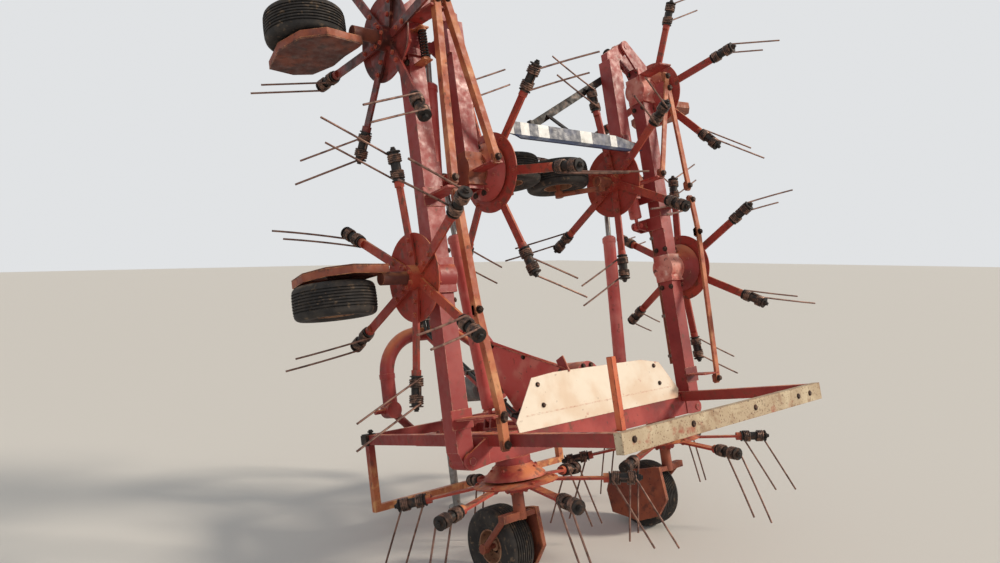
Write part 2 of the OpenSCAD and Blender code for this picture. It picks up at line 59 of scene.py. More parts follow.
# %% Sizes and places
TILT = math.radians(11.4)
MID = (-22.5, 334.2)
WHEEL_R = 188
WHEEL_DROP, END_WHEEL_DROP = 312, 280
WHEEL_AHEAD = 184
LIFT = WHEEL_R + WHEEL_DROP * math.cos(TILT) + WHEEL_AHEAD * math.sin(TILT)
PIVOT = (864.5, 151)
HINGE = (3139.5, 270)
ROTOR_PITCH = 1150
PARKED = Matrix.Translation((-MID[0] / 1000, -MID[1] / 1000, LIFT / 1000)) @ Matrix.Rotation(-TILT, 4, "X")
LEVEL = PARKED @ Matrix.Scale(0.001, 4)


def up(x, y, z):
    """A point of a lowered wing, once the wing is up."""
    return (PIVOT[0] - (z - PIVOT[1]), y, PIVOT[1] + (x - PIVOT[0]))


def over(x, y, z):
    """A point of a lowered end section, once it is folded back and the wing is up."""
    return up(2 * HINGE[0] - x, y, 2 * HINGE[1] - z)


print("centre frame lifted by", round(LIFT, 1), "mm")

# %% [markdown]
# ## Camera
# It stands behind and to the left of the machine at eye height, as in the photograph, and looks a little
# down. It could be aimed at a point, but three named turns can be fitted to the photograph one by one.

# %% Camera
EYE = (-2.8325, -2.9222, 1.6600)
YAW, LOOK_UP, ROLL = 0.7015, -0.0476, -0.0045
LENS_MM, SENSOR_MM = 26.108, 36
camera_data = bpy.data.cameras.new("camera")
camera = bpy.data.objects.new("camera", camera_data)
scene.collection.objects.link(camera)
camera_data.sensor_width = SENSOR_MM
camera_data.lens = LENS_MM
camera.location = EYE
forward = Vector((math.sin(YAW) * math.cos(LOOK_UP), math.cos(YAW) * math.cos(LOOK_UP), math.sin(LOOK_UP)))
right = Vector((math.cos(YAW), -math.sin(YAW), 0))
upward = right.cross(forward)
turned = math.cos(ROLL) * right + math.sin(ROLL) * upward
risen = -math.sin(ROLL) * right + math.cos(ROLL) * upward
camera.rotation_euler = Matrix((turned, risen, -forward)).transposed().to_euler()
scene.camera = camera
print("camera at", EYE, "with a lens of", LENS_MM, "mm")

# %% [markdown]
# ## One function for colours and one for shader nodes
# Colours are written as they look on screen, as hex values, and are turned into the linear light that
# Blender counts with only here. Shader nodes could be wired by hand in the editor. Written down, they can
# be repeated for every finish: `node` adds one, sets it, links it and hands back an output.

# %% Colour and node
SMOOTH = {"interpolation_type": "SMOOTHSTEP"}


def linear(hex_colour):
    """An sRGB hex colour as linear RGBA."""
    values = [int(hex_colour[i:i + 2], 16) / 255 for i in (0, 2, 4)]
    return [v / 12.92 if v <= 0.04045 else ((v + 0.055) / 1.055) ** 2.4 for v in values] + [1]


def node(tree, kind, inputs=None, output=0, **settings):
    """Adds a shader node; inputs maps its sockets to a value or to another node's output."""
    made = tree.nodes.new(kind)
    for key, value in settings.items():
        setattr(made, key, value)
    for key, value in (inputs or {}).items():
        if isinstance(value, bpy.types.NodeSocket):
            tree.links.new(value, made.inputs[key])
        else:
            made.inputs[key].default_value = value
    return made.outputs[output]


print("mid grey is", round(linear("808080")[0], 3), "in linear light")

# %% [markdown]
# ## Where paint fades, rusts and wears
# Old paint doesn't change evenly. Sun bleaches the faces that look up, wet earth reaches the lowest bars,
# hands and hay rub the edges bare, and rust starts in spots. The same masks carry painted light too: the
# upward one lightens tops partly as painted sunlight, the downward one darkens undersides as painted shade,
# and on some finishes the edge tint is partly a painted highlight. Each of these is a mask from 0 to 1 that
# follows the machine's own shape. It could be painted by hand, but a painted mask would have to be done
# again for each of the many pieces.

# %% Masks
SPLASH_LOW, SPLASH_HIGH = 0.22, 0.50
EDGE_BREAK_MM = 22


def blots(tree, size_mm, detail=4.0, rough=0.55):
    """A noise pattern whose largest blots are about size_mm across, fixed to the piece."""
    where = node(tree, "ShaderNodeTexCoord", output="Object")
    scaled = node(tree, "ShaderNodeMapping", {"Vector": where, "Scale": [1000 / size_mm] * 3})
    return node(tree, "ShaderNodeTexNoise", {"Vector": scaled, "Scale": 1.0, "Detail": detail,
                                             "Roughness": rough})


def spots(tree, size_mm, low, high, strength):
    """0 where the blots are below low, strength where they are above high."""
    return node(tree, "ShaderNodeMapRange", {"Value": blots(tree, size_mm), "From Min": low, "From Max": high,
                                             "To Max": strength}, **SMOOTH)


def by_facing(tree, upward_value, other_value):
    """upward_value on faces that look up, other_value on the rest."""
    normal = node(tree, "ShaderNodeNewGeometry", output="Normal")
    height = node(tree, "ShaderNodeSeparateXYZ", {0: normal}, output="Z")
    return node(tree, "ShaderNodeMapRange", {"Value": height, "From Min": 0.2, "From Max": 0.9,
                                             "To Min": other_value, "To Max": upward_value}, **SMOOTH)


def near_ground(tree):
    """1 on what lies below SPLASH_LOW, in metres, 0 above SPLASH_HIGH."""
    where = node(tree, "ShaderNodeTexCoord", output="Object")
    height = node(tree, "ShaderNodeSeparateXYZ", {0: where}, output="Z")
    return node(tree, "ShaderNodeMapRange", {"Value": height, "From Min": SPLASH_LOW, "From Max": SPLASH_HIGH,
                                             "To Min": 1.0, "To Max": 0.0}, **SMOOTH)


# On most finishes this edge tint is wear; on the red, guard and beam paints it is partly a painted highlight,
# and on the coils a painted highlight.
def edge_wear_and_highlight(tree, radius_mm):
    """1 along sharp edges, where the true normal and a rounded one differ."""
    true = node(tree, "ShaderNodeNewGeometry", output="Normal")
    rounded = node(tree, "ShaderNodeBevel", {"Radius": radius_mm / 1000}, samples=4)
    match = node(tree, "ShaderNodeVectorMath", {0: true, 1: rounded}, "Value", operation="DOT_PRODUCT")
    missed = node(tree, "ShaderNodeMath", {0: 1.0, 1: match}, operation="SUBTRACT")
    return node(tree, "ShaderNodeMapRange", {"Value": missed, "From Min": 0.02, "From Max": 0.2}, **SMOOTH)


# An "up" layer lightens tops, partly as painted sunlight; a "down" layer darkens undersides as painted shade.
def place_mask(tree, where):
    """Where a layer lies: "up" or "down" by the way a face looks, "low" near the ground."""
    if where == "low":
        return near_ground(tree)
    return by_facing(tree, 1.0, 0.0) if where == "up" else by_facing(tree, 0.0, 1.0)


print("splashes reach", SPLASH_HIGH, "m above the ground")

# %% [markdown]
# ## A material from layers
# Paint on a field machine is a stack: the base coat, faded patches, dust, rust, and pale edges on top,
# the edges partly worn bare and partly painted highlights.
# It could be one flat picture wrapped round each piece. One function that stacks masks needs no unwrapping
# and makes a new finish a short list of layers.

# %% Layered material
LAYER_SHIFT = 0.013
ROUGH_BLOTS_MM = 35
BUMP_STRENGTH = 0.6


def material(name, base, layers, roughness=(0.5, 0.8), metallic=0.0, bump_mm=0.4, bump_size=6, edges=None):
    """A material from a base colour and layers of (hex colour, blot size in mm, low, high, strength).

    A layer may end with where it lies, as place_mask has it. edges is (hex colour, mm, strength)."""
    made = bpy.data.materials.new(name)
    made.use_nodes = True
    tree = made.node_tree
    shader = tree.nodes["Principled BSDF"]
    colour = linear(base)
    for i, (tint, size, low, high, strength, *where) in enumerate(layers):
        mask = spots(tree, size * (1 + LAYER_SHIFT * i), low, high, strength)
        if where:
            mask = node(tree, "ShaderNodeMath", {0: mask, 1: place_mask(tree, *where)}, operation="MULTIPLY")
        colour = node(tree, "ShaderNodeMix", {0: mask, 6: colour, 7: linear(tint)}, 2, data_type="RGBA")
    if edges:
        tint, radius, strength = edges
        broken = spots(tree, EDGE_BREAK_MM, 0.38, 0.62, strength)
        mask = node(tree, "ShaderNodeMath", {0: edge_wear_and_highlight(tree, radius), 1: broken}, operation="MULTIPLY")
        colour = node(tree, "ShaderNodeMix", {0: mask, 6: colour, 7: linear(tint)}, 2, data_type="RGBA")
    tree.links.new(colour, shader.inputs["Base Color"])
    smooth, dull = roughness
    rough = node(tree, "ShaderNodeMapRange", {"Value": blots(tree, ROUGH_BLOTS_MM), "From Min": 0.3,
                                              "From Max": 0.7, "To Min": smooth, "To Max": dull})
    tree.links.new(rough, shader.inputs["Roughness"])
    shader.inputs["Metallic"].default_value = metallic
    grain = blots(tree, bump_size, 6.0, 0.65)
    bump = node(tree, "ShaderNodeBump", {"Height": grain, "Strength": BUMP_STRENGTH,
                                         "Distance": bump_mm / 1000})
    tree.links.new(bump, shader.inputs["Normal"])
    return made


print("roughness varies in blots of", ROUGH_BLOTS_MM, "mm")

# %% [markdown]
# ## Red paint
# The machine was sprayed in one red. Sun and rain have since turned it pink on the wings and brown where
# it rusts. Its orange tops are partly faded paint and partly painted sunlight, and its darker undersides
# are painted shade. One material could hold all of that, but it would be hard to steer, so the one paint
# has several finishes. They share the colours named first.

# %% Red finishes
PAINT = "962E2A"
# An orange for faces that look up: partly sun-faded paint, partly painted sunlight.
BLEACH_AND_SUNLIGHT = "DC8452"
RUST = "6E3A2A"
DARK_RUST = "42261E"
DUST = "A98C74"
red = material("faded_red_paint", PAINT, [  # alkyd paint on steel, satin with dull patches
    # Upward orange partly painted sunlight, downward dark red painted shade, pale edges partly painted
    # highlights.
    ("B44A42", 320, 0.44, 0.64, 0.75), (BLEACH_AND_SUNLIGHT, 150, 0.30, 0.56, 0.9, "up"),
    ("6A2020", 260, 0.46, 0.66, 0.8, "down"), (RUST, 46, 0.58, 0.69, 0.8),
    (DUST, 90, 0.50, 0.75, 0.4, "up"), (DARK_RUST, 17, 0.66, 0.74, 0.7)],
    (0.38, 0.7), edges=("DE9C7E", 4, 0.75))
beam_red = material("pink_faded_paint", "902E2C", [  # the same paint on the wings, gone pink in the sun
    # Upward orange partly painted sunlight, downward dark red painted shade, pale pink edges partly painted
    # highlights.
    ("A4423C", 260, 0.44, 0.64, 0.75), ("BE7464", 210, 0.60, 0.78, 0.35),
    (BLEACH_AND_SUNLIGHT, 150, 0.3, 0.56, 0.8, "up"), ("7A2626", 300, 0.50, 0.68, 0.7, "down"),
    (RUST, 40, 0.60, 0.70, 0.8), (DARK_RUST, 15, 0.66, 0.74, 0.7)],
    (0.35, 0.65), edges=("E8B49C", 5, 0.85))
guard_red = material("splashed_red_paint", "862A26", [  # the guard's paint, worn to tan primer low down
    # Upward orange partly painted sunlight, downward dark red painted shade, pale edges partly painted
    # highlights.
    ("A03A32", 320, 0.44, 0.64, 0.7), (BLEACH_AND_SUNLIGHT, 150, 0.34, 0.60, 0.8, "up"),
    ("6A2020", 260, 0.48, 0.68, 0.7, "down"), ("BE6E42", 240, 0.10, 0.34, 0.85, "low"),
    ("E0A468", 70, 0.46, 0.62, 0.8, "low"), (RUST, 46, 0.58, 0.69, 0.8),
    (DARK_RUST, 17, 0.66, 0.74, 0.7)], (0.38, 0.7), edges=("DE9C7E", 4, 0.75))
tan_red = material("rusty_orange_paint", "7E3E2C", [  # thin paint over rust on legs and wheel guards
    # Upward tan partly faded paint, partly painted sunlight.
    ("A4583A", 180, 0.42, 0.62, 0.75), ("D08C54", 110, 0.46, 0.66, 0.8, "up"),
    ("5A2E24", 60, 0.52, 0.68, 0.8), (DARK_RUST, 20, 0.62, 0.72, 0.75)],
    (0.5, 0.8), edges=("DC9C68", 4, 0.8))
dark_rust_and_shade_red = material("dark_rusted_and_shaded_paint", "56281E", [  # dark rust and painted shade on the left wheel guards
    # Darkened partly by rust and partly as painted shade; its upward tan is partly painted sunlight.
    ("7E3E28", 160, 0.44, 0.64, 0.8), ("C07C4A", 120, 0.50, 0.70, 0.6, "up"),
    ("3A1E18", 60, 0.48, 0.66, 0.8), ("241512", 20, 0.62, 0.72, 0.7)],
    (0.5, 0.85), edges=("D09058", 4, 0.85))
bleached_red = material("sunburnt_casting", "B8564C", [  # a gearbox casting burnt pale by the sun
    ("DC9C8C", 120, 0.38, 0.58, 0.85), ("EED0C2", 60, 0.56, 0.72, 0.8),
    (DARK_RUST, 40, 0.60, 0.70, 0.85)], (0.5, 0.8), edges=("E8BCA4", 4, 0.7))
print("six finishes of the one red paint")

# %% [markdown]
# ## Paint on rotors, cylinders and the newer parts
# Rotors rub through hay and lose paint first; their orange tops are partly painted sunlight. One of them,
# rotor l3, is darker all over as painted shade. Cylinder barrels are smoother, the marker post was painted
# last, and the tower panel's red is lightened as a painted sheen. Each could be the first red with another
# tint, but dirt sits differently on each, so each has layers of its own.

# %% Other paints
rotor_red = material("rotor_red_paint", "9A3226", [  # thinner, more worn paint, orange on top partly as painted sunlight
    ("B2482F", 240, 0.44, 0.66, 0.7), ("DA8C58", 110, 0.34, 0.60, 0.8, "up"),
    (RUST, 40, 0.54, 0.66, 0.85), (DUST, 70, 0.5, 0.75, 0.4, "up"),
    (DARK_RUST, 15, 0.60, 0.72, 0.75)], (0.42, 0.75), edges=("CE8E62", 3, 0.7))
shaded_rotor_red = material("shaded_rotor_paint", "702620", [  # painted shade: darker all over, with dark blots, pale specks and partly glossy
    ("94362A", 200, 0.46, 0.66, 0.7), ("341A16", 90, 0.44, 0.60, 0.85),
    ("B8745A", 26, 0.62, 0.72, 0.6), (DARK_RUST, 15, 0.60, 0.72, 0.75)],
    (0.3, 0.65), edges=("B8785A", 3, 0.6))
cylinder_red = material("cylinder_red_paint", "BE4A44", [  # smooth paint on drawn tube
    ("D2766C", 200, 0.42, 0.64, 0.8), (RUST, 40, 0.60, 0.70, 0.75)], (0.35, 0.6))
orange = material("orange_paint", "C65A3C", [  # newer orange-red paint on the marker post
    ("D4784C", 120, 0.42, 0.64, 0.7), (RUST, 30, 0.60, 0.70, 0.8)], (0.5, 0.8),
    edges=("6E3A2A", 4, 0.9))
sheen_red = material("sheen_lightened_red_paint", "D04C44", [  # red lightened as a painted sheen, on the tower panel
    ("DE8474", 140, 0.45, 0.65, 0.7), (DUST, 60, 0.55, 0.75, 0.3, "up"),
    (RUST, 34, 0.62, 0.72, 0.7)], (0.4, 0.65))
link_steel = material("brown_link_bars", "A04E34", [  # painted angle iron, worn to a tan edge
    ("C4764C", 130, 0.42, 0.62, 0.85), ("DAA070", 200, 0.52, 0.68, 0.7),
    (DARK_RUST, 34, 0.63, 0.73, 0.7)], (0.45, 0.75), edges=("E6B07C", 4, 0.8))
print("six more paints")

# %% [markdown]
# ## White, pale and striped surfaces
# Chalked paint loses its binder: it turns matt and dusty, and rust shows through as small pits. The cover
# sheet was orange once and has bleached from the middle. The pits could be modelled, but they are finer
# than a millimetre, so bump and dark spots stand for them. The board's film is plain.

# %% Pale finishes
white_bar = material("chalky_white_paint", "B8A488", [  # chalked white paint, pitted by rust
    ("D0C0A2", 160, 0.44, 0.64, 0.8), ("94745A", 60, 0.52, 0.68, 0.75),
    ("6A4434", 9, 0.58, 0.66, 0.85), ("4E3428", 22, 0.63, 0.71, 0.8),
    ("A04A36", 90, 0.62, 0.74, 0.7)], (0.7, 0.95), bump_mm=1.4, bump_size=9, edges=("84503A", 6, 0.95))
pale_cover = material("bleached_cover_sheet", "E0C8AE", [  # orange sheet bleached nearly white
    ("ECDFCC", 300, 0.38, 0.56, 0.9), ("DFA07A", 200, 0.58, 0.76, 0.7),
    ("B8604A", 60, 0.66, 0.75, 0.7), ("8A6A58", 26, 0.66, 0.74, 0.5)], (0.4, 0.65),
    edges=("B85E42", 6, 0.9))
board_white = material("board_white_film", "E4E4E0", [  # white film, chalked and dusty
    ("F2F2F0", 90, 0.45, 0.65, 0.6), ("A8A49A", 60, 0.52, 0.70, 0.6),
    ("8A7A68", 26, 0.62, 0.74, 0.6)], (0.4, 0.7))
board_navy = material("board_navy_film", "16223C", [  # dark blue film, dull with dirt
    ("22345A", 90, 0.45, 0.65, 0.6), ("3C3A3A", 50, 0.58, 0.74, 0.5)], (0.35, 0.6))
print("four pale and striped finishes")

# %% [markdown]
# ## Steel, rubber and plastic
# Spring wire keeps some black lacquer inside its coils and rusts where it bends. Rusty steel could mix a
# metal and a matt shader; one shader that is only partly metallic looks the same here. Metals keep
# Blender's default index of refraction.

# %% Steel, rubber and plastic
tine_steel = material("rusty_spring_wire", "75564C", [  # spring wire with a pink-brown film of rust
    ("92705F", 60, 0.44, 0.64, 0.7), ("48302A", 35, 0.48, 0.64, 0.8)], (0.45, 0.7), 0.5)
coil_steel = material("worn_and_highlit_spring_coils", "3E322E", [  # coils with lacquer left between the turns, pale edges as painted highlights
    # The pale edge tint stands for light on the turns: painted highlights.
    ("8E6A58", 26, 0.44, 0.60, 0.75), ("1E1A18", 12, 0.52, 0.62, 0.6)], (0.35, 0.6), 0.5,
    edges=("B08C76", 3, 0.9))
black_sleeve = material("black_tine_sleeve", "211D1B", [  # cast holders under the coils, greasy and dusty
    ("4C362A", 26, 0.5, 0.66, 0.7), ("6A4A38", 60, 0.58, 0.72, 0.5)], (0.45, 0.75), 0.3)
tyre_rubber = material("dusty_tyre_rubber", "242120", [  # rubber with dried mud
    ("3A342F", 60, 0.42, 0.64, 0.7), ("7A6550", 26, 0.56, 0.70, 0.6),
    ("8A745C", 70, 0.48, 0.70, 0.45, "up")], (0.75, 0.95), bump_mm=0.5)
rim_paint = material("dirty_rim_paint", "9A6E54", [  # faded paint under dust
    ("B08A6C", 60, 0.42, 0.64, 0.7), ("5E3A2C", 24, 0.52, 0.66, 0.8)], (0.6, 0.9))
chrome = material("dulled_rod_chrome", "8E8A86", [  # hard chrome gone dull
    ("6A625C", 50, 0.45, 0.66, 0.6), ("7A5240", 16, 0.62, 0.70, 0.6)], (0.25, 0.5), 0.9)
bare_steel = material("worn_bare_steel", "7C746C", [  # bare steel with a brown film
    ("54423A", 30, 0.46, 0.64, 0.7)], (0.35, 0.6), 0.9)
galvanised = material("dull_galvanised_steel", "8C8A86", [  # weathered zinc
    ("A8A6A0", 40, 0.45, 0.62, 0.7), ("6E5040", 30, 0.60, 0.70, 0.6)], (0.5, 0.75), 0.6)
dark_bolts = material("dark_bolt_steel", "46342C", [  # bolts rusted brown
    ("2A211D", 10, 0.45, 0.6, 0.7), ("74503C", 14, 0.55, 0.66, 0.7)], (0.5, 0.75), 0.6)
plastic = material("grey_plastic", "6A6A68", [  # chalked polyethylene
    ("8A8884", 50, 0.45, 0.65, 0.6), (DUST, 60, 0.5, 0.7, 0.5, "up")], (0.55, 0.8))
black_rubber = material("black_hose_rubber", "1E1C1B", [  # hose cover
    ("4A423A", 30, 0.5, 0.7, 0.5)], (0.5, 0.75))
print(len(bpy.data.materials), "materials in all")

# %% [markdown]
# ## A finish for every CAD node
# The record names a material slot for each node, which gives its usual finish. Every node could have its
# own material, but shared ones change together. A few nodes have a finish of their own and are named: some
# have aged in their own way, and on rotor l3 and the left legs the finish carries painted shade.

# %% Finishes on the CAD nodes
FINISH = {"red_paint": red, "rotor_paint": rotor_red, "cylinder_paint": cylinder_red,
          "bleached_white": white_bar, "pale_cover": pale_cover, "tine_steel": tine_steel,
          "tyre": tyre_rubber, "rim": rim_paint, "rod_chrome": chrome, "bare_steel": bare_steel,
          "galvanised": galvanised, "grey_plastic": plastic}
# rotor_l3 and left_legs get finishes that carry painted shade.
OWN_FINISH = {"guard_frame": guard_red, "rotor_l3": shaded_rotor_red, "left_legs": dark_rust_and_shade_red,
              "right_rotor_boxes": bleached_red, "left_rotor_boxes": beam_red, "left_beam": beam_red,
              "right_beam": beam_red, "left_end_beam": beam_red, "right_end_beam": beam_red,
              "centre_legs": tan_red, "right_legs": tan_red, "left_end_leg": tan_red,
              "right_end_leg": tan_red}
slot_of = {row["node"]: row["material_slot"] for row in frame["record"]["subparts"]}
for name, cad_node in nodes.items():
    cad_node.data.materials.clear()
    cad_node.data.materials.append(OWN_FINISH.get(name) or FINISH[slot_of[name]])
print(len(OWN_FINISH), "of", len(nodes), "nodes have a finish of their own")

# %% [markdown]
# ## A mesh piece
# A shape is a list of points and one of faces. A piece is a shape in metres that rides on a CAD body.
# Blender's own cubes and cylinders could be added and edited, but points from a formula land just where the
# CAD has its faces. A real bar has no knife edges, so a piece may have its sharp edges rounded.

# %% Piece
SHARP = 0.6  # radians between two faces
SMOOTH_BELOW = math.radians(38)


def piece(name, shape, finish, body, place=None, smooth=True, slots=None, face_slots=None, bevel_mm=0):
    """Makes one mesh piece that rides on a body, with its sharp edges rounded by bevel_mm."""
    verts, faces = shape
    mesh = bpy.data.meshes.new(name)
    mesh.from_pydata([tuple(v) for v in verts], [], faces)
    if place is not None:
        mesh.transform(place)
        if place.determinant() < 0:
            mesh.flip_normals()
    if bevel_mm:
        work = bmesh.new()
        work.from_mesh(mesh)
        bmesh.ops.recalc_face_normals(work, faces=work.faces)
        sharp = [e for e in work.edges if len(e.link_faces) == 2 and e.calc_face_angle(0) > SHARP]
        bmesh.ops.bevel(work, geom=sharp, offset=bevel_mm / 1000, segments=2, affect="EDGES",
                        clamp_overlap=True)
        work.to_mesh(mesh)
        work.free()
    made = bpy.data.objects.new(name, mesh)
    scene.collection.objects.link(made)
    for one in slots or [finish]:
        mesh.materials.append(one)
    if face_slots:
        mesh.polygons.foreach_set("material_index", face_slots)
    mesh.update()
    if smooth:
        mesh.polygons.foreach_set("use_smooth", [True] * len(mesh.polygons))
        mesh.set_sharp_from_angle(angle=SMOOTH_BELOW)
    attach(made, body)
    return made


def placed(shape, place):
    """A shape carried by a matrix, its faces turned round if the matrix mirrors."""
    verts, faces = shape
    order = -1 if place.determinant() < 0 else 1
    return [place @ Vector(p) for p in verts], [tuple(face)[::order] for face in faces]


def joined(shapes):
    """Several shapes as one."""
    verts, faces = [], []
    for more_verts, more_faces in shapes:
        start = len(verts)
        verts += [Vector(p) for p in more_verts]
        faces += [tuple(start + i for i in face) for face in more_faces]
    return verts, faces


print("edges sharper than", round(math.degrees(SHARP)), "degrees can be rounded")

# %% [markdown]
# ## Round wire, turned parts and plates
# Three forms make nearly everything here: a tube swept along points for wire and hose, a section turned
# on a lathe for tyres and sleeves, and a flat outline raised to a thickness for plates. Curve objects and
# modifiers could make them too, but here the order of the faces is known, which the coils' finish needs.

# %% Sweep, lathe and prism
def sweep(points, radius, sides=8):
    """A round tube along points, closed at both ends, as (verts, faces)."""
    points = [Vector(p) for p in points]
    verts, faces = [], []
    tangent = (points[1] - points[0]).normalized()
    side = tangent.orthogonal().normalized()
    for i, p in enumerate(points):
        ahead = points[min(i + 1, len(points) - 1)] - points[max(i - 1, 0)]
        tangent = ahead.normalized()
        side = (side - side.dot(tangent) * tangent).normalized()
        across = tangent.cross(side)
        for k in range(sides):
            a = 2 * math.pi * k / sides
            verts.append(p + radius * (math.cos(a) * side + math.sin(a) * across))
    for i in range(len(points) - 1):
        for k in range(sides):
            a, b = i * sides + k, i * sides + (k + 1) % sides
            faces.append((a, b, b + sides, a + sides))
    faces.append(tuple(reversed(range(sides))))
    faces.append(tuple(range((len(points) - 1) * sides, len(points) * sides)))
    return verts, faces


def lathe(profile, steps=64):
    """A closed profile of (radius, height) turned about Z, as (verts, faces)."""
    n = len(profile)
    angles = [2 * math.pi * i / steps for i in range(steps)]
    verts = [(r * math.cos(a), r * math.sin(a), z) for a in angles for r, z in profile]
    faces = []
    for i in range(steps):
        here, there = i * n, (i + 1) % steps * n
        faces += [(here + k, there + k, there + (k + 1) % n, here + (k + 1) % n) for k in range(n)]
    return verts, faces


def sides_of(n):
    """The faces of a body with n-cornered ends, whose corners are numbered end after end."""
    return [tuple(reversed(range(n))), tuple(range(n, 2 * n))] + \
        [(i, (i + 1) % n, n + (i + 1) % n, n + i) for i in range(n)]


def prism(outline, depth):
    """A flat outline of (x, y) points raised to depth, as (verts, faces)."""
    return [(x, y, z) for z in (0, depth) for x, y in outline], sides_of(len(outline))


print("a square prism has", len(sides_of(4)), "faces")

# %% [markdown]
# ## Bolts
# Bolts are what makes a built machine believable. They could be hinted at by a bump, but they stand proud
# of the edges. Each is a hexagon with its top corners cut, as forged heads are, on a round washer. A group
# of them is one piece, which keeps the scene small.

# %% Bolts
WASHER = 0.002


def ring(r, step):
    """Points of a circle, step degrees apart."""
    return [(r * math.cos(math.radians(a)), r * math.sin(math.radians(a))) for a in range(0, 360, step)]


def bolt(across_mm, height_mm, washer=True):
    """A hexagon head, on a round washer if asked, standing on Z = 0."""
    r = across_mm / 2000 / math.cos(math.pi / 6)
    levels = [(1, 0), (1, 0.8), (0.8, 1)]
    verts = [(s * x, s * y, z * height_mm / 1000) for s, z in levels for x, y in ring(r, 60)]
    faces = [tuple(range(12, 18))]
    for low in (0, 6):
        faces += [(low + i, low + (i + 1) % 6, low + 6 + (i + 1) % 6, low + 6 + i) for i in range(6)]
    head = placed((verts, faces), Matrix.Translation((0, 0, WASHER if washer else 0)))
    return joined([head, prism(ring(1.25 * r, 20), WASHER)]) if washer else head


def turned_to(point, direction):
    """A matrix that puts Z along direction at a point."""
    turn = Vector(direction).normalized().to_track_quat("Z", "Y")
    return Matrix.Translation(point) @ turn.to_matrix().to_4x4()


def fixed_bolt(x, y, z, direction, across, height):
    """A bolt at a point of the level machine, in mm."""
    return placed(bolt(across, height), PARKED @ turned_to((x / 1000, y / 1000, z / 1000), direction))


def bolt_piece(name, bolts, body, finish=dark_bolts):
    """A group of bolts as one piece."""
    piece(name, joined(bolts), finish, body, smooth=False)


print("a bolt has", len(bolt(24, 14)[1]), "faces")

# %% [markdown]
# ## Bars and smooth routes
# Brackets and links are rolled sections cut to length, so an outline is carried from one point to
# another. A scaled cube would do for a flat bar, but not for angle iron. A hose bends smoothly, so its
# route is a curve through a few points.

# %% Bars and routes
def strut(outline, a, b, facing=(0, 1, 0)):
    """An outline in mm carried from point a to point b; its Y looks towards facing."""
    a, b = Vector(a), Vector(b)
    ez = (b - a).normalized()
    ey = (Vector(facing) - Vector(facing).dot(ez) * ez).normalized()
    ex = ey.cross(ez)
    return [p + x * ex + y * ey for p in (a, b) for x, y in outline], sides_of(len(outline))


def bar(width, thick, a, b, facing=(0, 0, 1)):
    """A flat bar from a to b, its thickness towards facing."""
    w, t = width / 2, thick / 2
    return strut([(-w, -t), (w, -t), (w, t), (-w, t)], a, b, facing)


def bar_piece(name, shapes, finish, body, bevel_mm):
    """Bars of the level machine, in mm, as one piece with rounded edges."""
    piece(name, joined(shapes), finish, body, LEVEL, smooth=False, bevel_mm=bevel_mm)


def angle_iron(width, thick, side):
    """Outline of an angle bar: one leg looks back at the camera, the other runs forward."""
    w = width / 2
    points = [(-w, -w), (w, -w), (w, -w + thick), (-w + thick, -w + thick), (-w + thick, w), (-w, w)]
    return points if side > 0 else [(-x, y) for x, y in reversed(points)]


def curve(points, steps=6):
    """A smooth curve through points, by Catmull-Rom."""
    p = [Vector(q) for q in points]
    p = [2 * p[0] - p[1]] + p + [2 * p[-1] - p[-2]]
    out = []
    for i in range(1, len(p) - 2):
        for k in range(steps):
            t = k / steps
            out.append(0.5 * (2 * p[i] + (p[i + 1] - p[i - 1]) * t
                              + (2 * p[i - 1] - 5 * p[i] + 4 * p[i + 1] - p[i + 2]) * t * t
                              + (3 * p[i] - p[i - 1] - 3 * p[i + 1] + p[i + 2]) * t ** 3))
    return out + [p[-2]]


print("a curve through three points has", len(curve([(0, 0, 0), (0, 1, 0), (1, 1, 0)])), "points")

# %% [markdown]
# ## Rotor and wheel frames
# Eight rotors stand in four places a side. Each gets a frame of its own: X points outboard and Z up, as at
# work. A piece is then drawn once and placed eight times, however the machine is folded.

# %% Frames
# (side, place from the middle, angle of the first arm in degrees)
ROTORS = {"l1": (-1, 1, 45), "l2": (-1, 2, 57), "l3": (-1, 3, 32), "l4": (-1, 4, 42),
          "r1": (1, 1, 17), "r2": (1, 2, 59), "r3": (1, 3, 39), "r4": (1, 4, 58)}
# (side, place from the middle, side of its leg on which the wheel runs, 0 for under it)
WHEELS = {"l1": (-1, 1, 0), "l2": (-1, 2, -1), "l3": (-1, 3, 1), "l4": (-1, 4, -1), "r1": (1, 1, 0),
          "r4": (1, 4, -1)}
WHEEL_ASIDE = 68
DISC_R, DISC_THICK = 0.206, 0.005
ARM_DROOP, ARM_LAP = math.radians(6), 0.001
ARM_RISE = DISC_R * math.tan(ARM_DROOP) - DISC_THICK + ARM_LAP


def rotor_x(k):
    """Distance of place k from the machine's middle."""
    return (k - 0.5) * ROTOR_PITCH


def folded(k, x, y, z):
    """A level point outboard on the right side at place k, folded."""
    return (x, y, z) if k == 1 else up(x, y, z) if k < 4 else over(x, y, z)


def side_matrix(side, k, x, y, z):
    """The frame of a point at place k: its X, Y and Z are the lowered machine's, on that side."""
    origin = Vector(folded(k, x, y, z))
    flip = Vector((side, 1, 1))
    ends = [Vector(folded(k, *p)) - origin for p in ((x + 1, y, z), (x, y + 1, z), (x, y, z + 1))]
    place = Matrix([end * flip for end in ends]).transposed().to_4x4()
    place.translation = [v / 1000 for v in origin * flip]
    return PARKED @ place


def rotor_matrix(key):
    """The frame of a rotor, at the middle of its disc."""
    side, k, _ = ROTORS[key]
    return side_matrix(side, k, rotor_x(k), 0, 0)


def rotor_turned(key, degrees):
    """A rotor's frame turned about its axis."""
    return rotor_matrix(key) @ Matrix.Rotation(math.radians(degrees), 4, "Z")


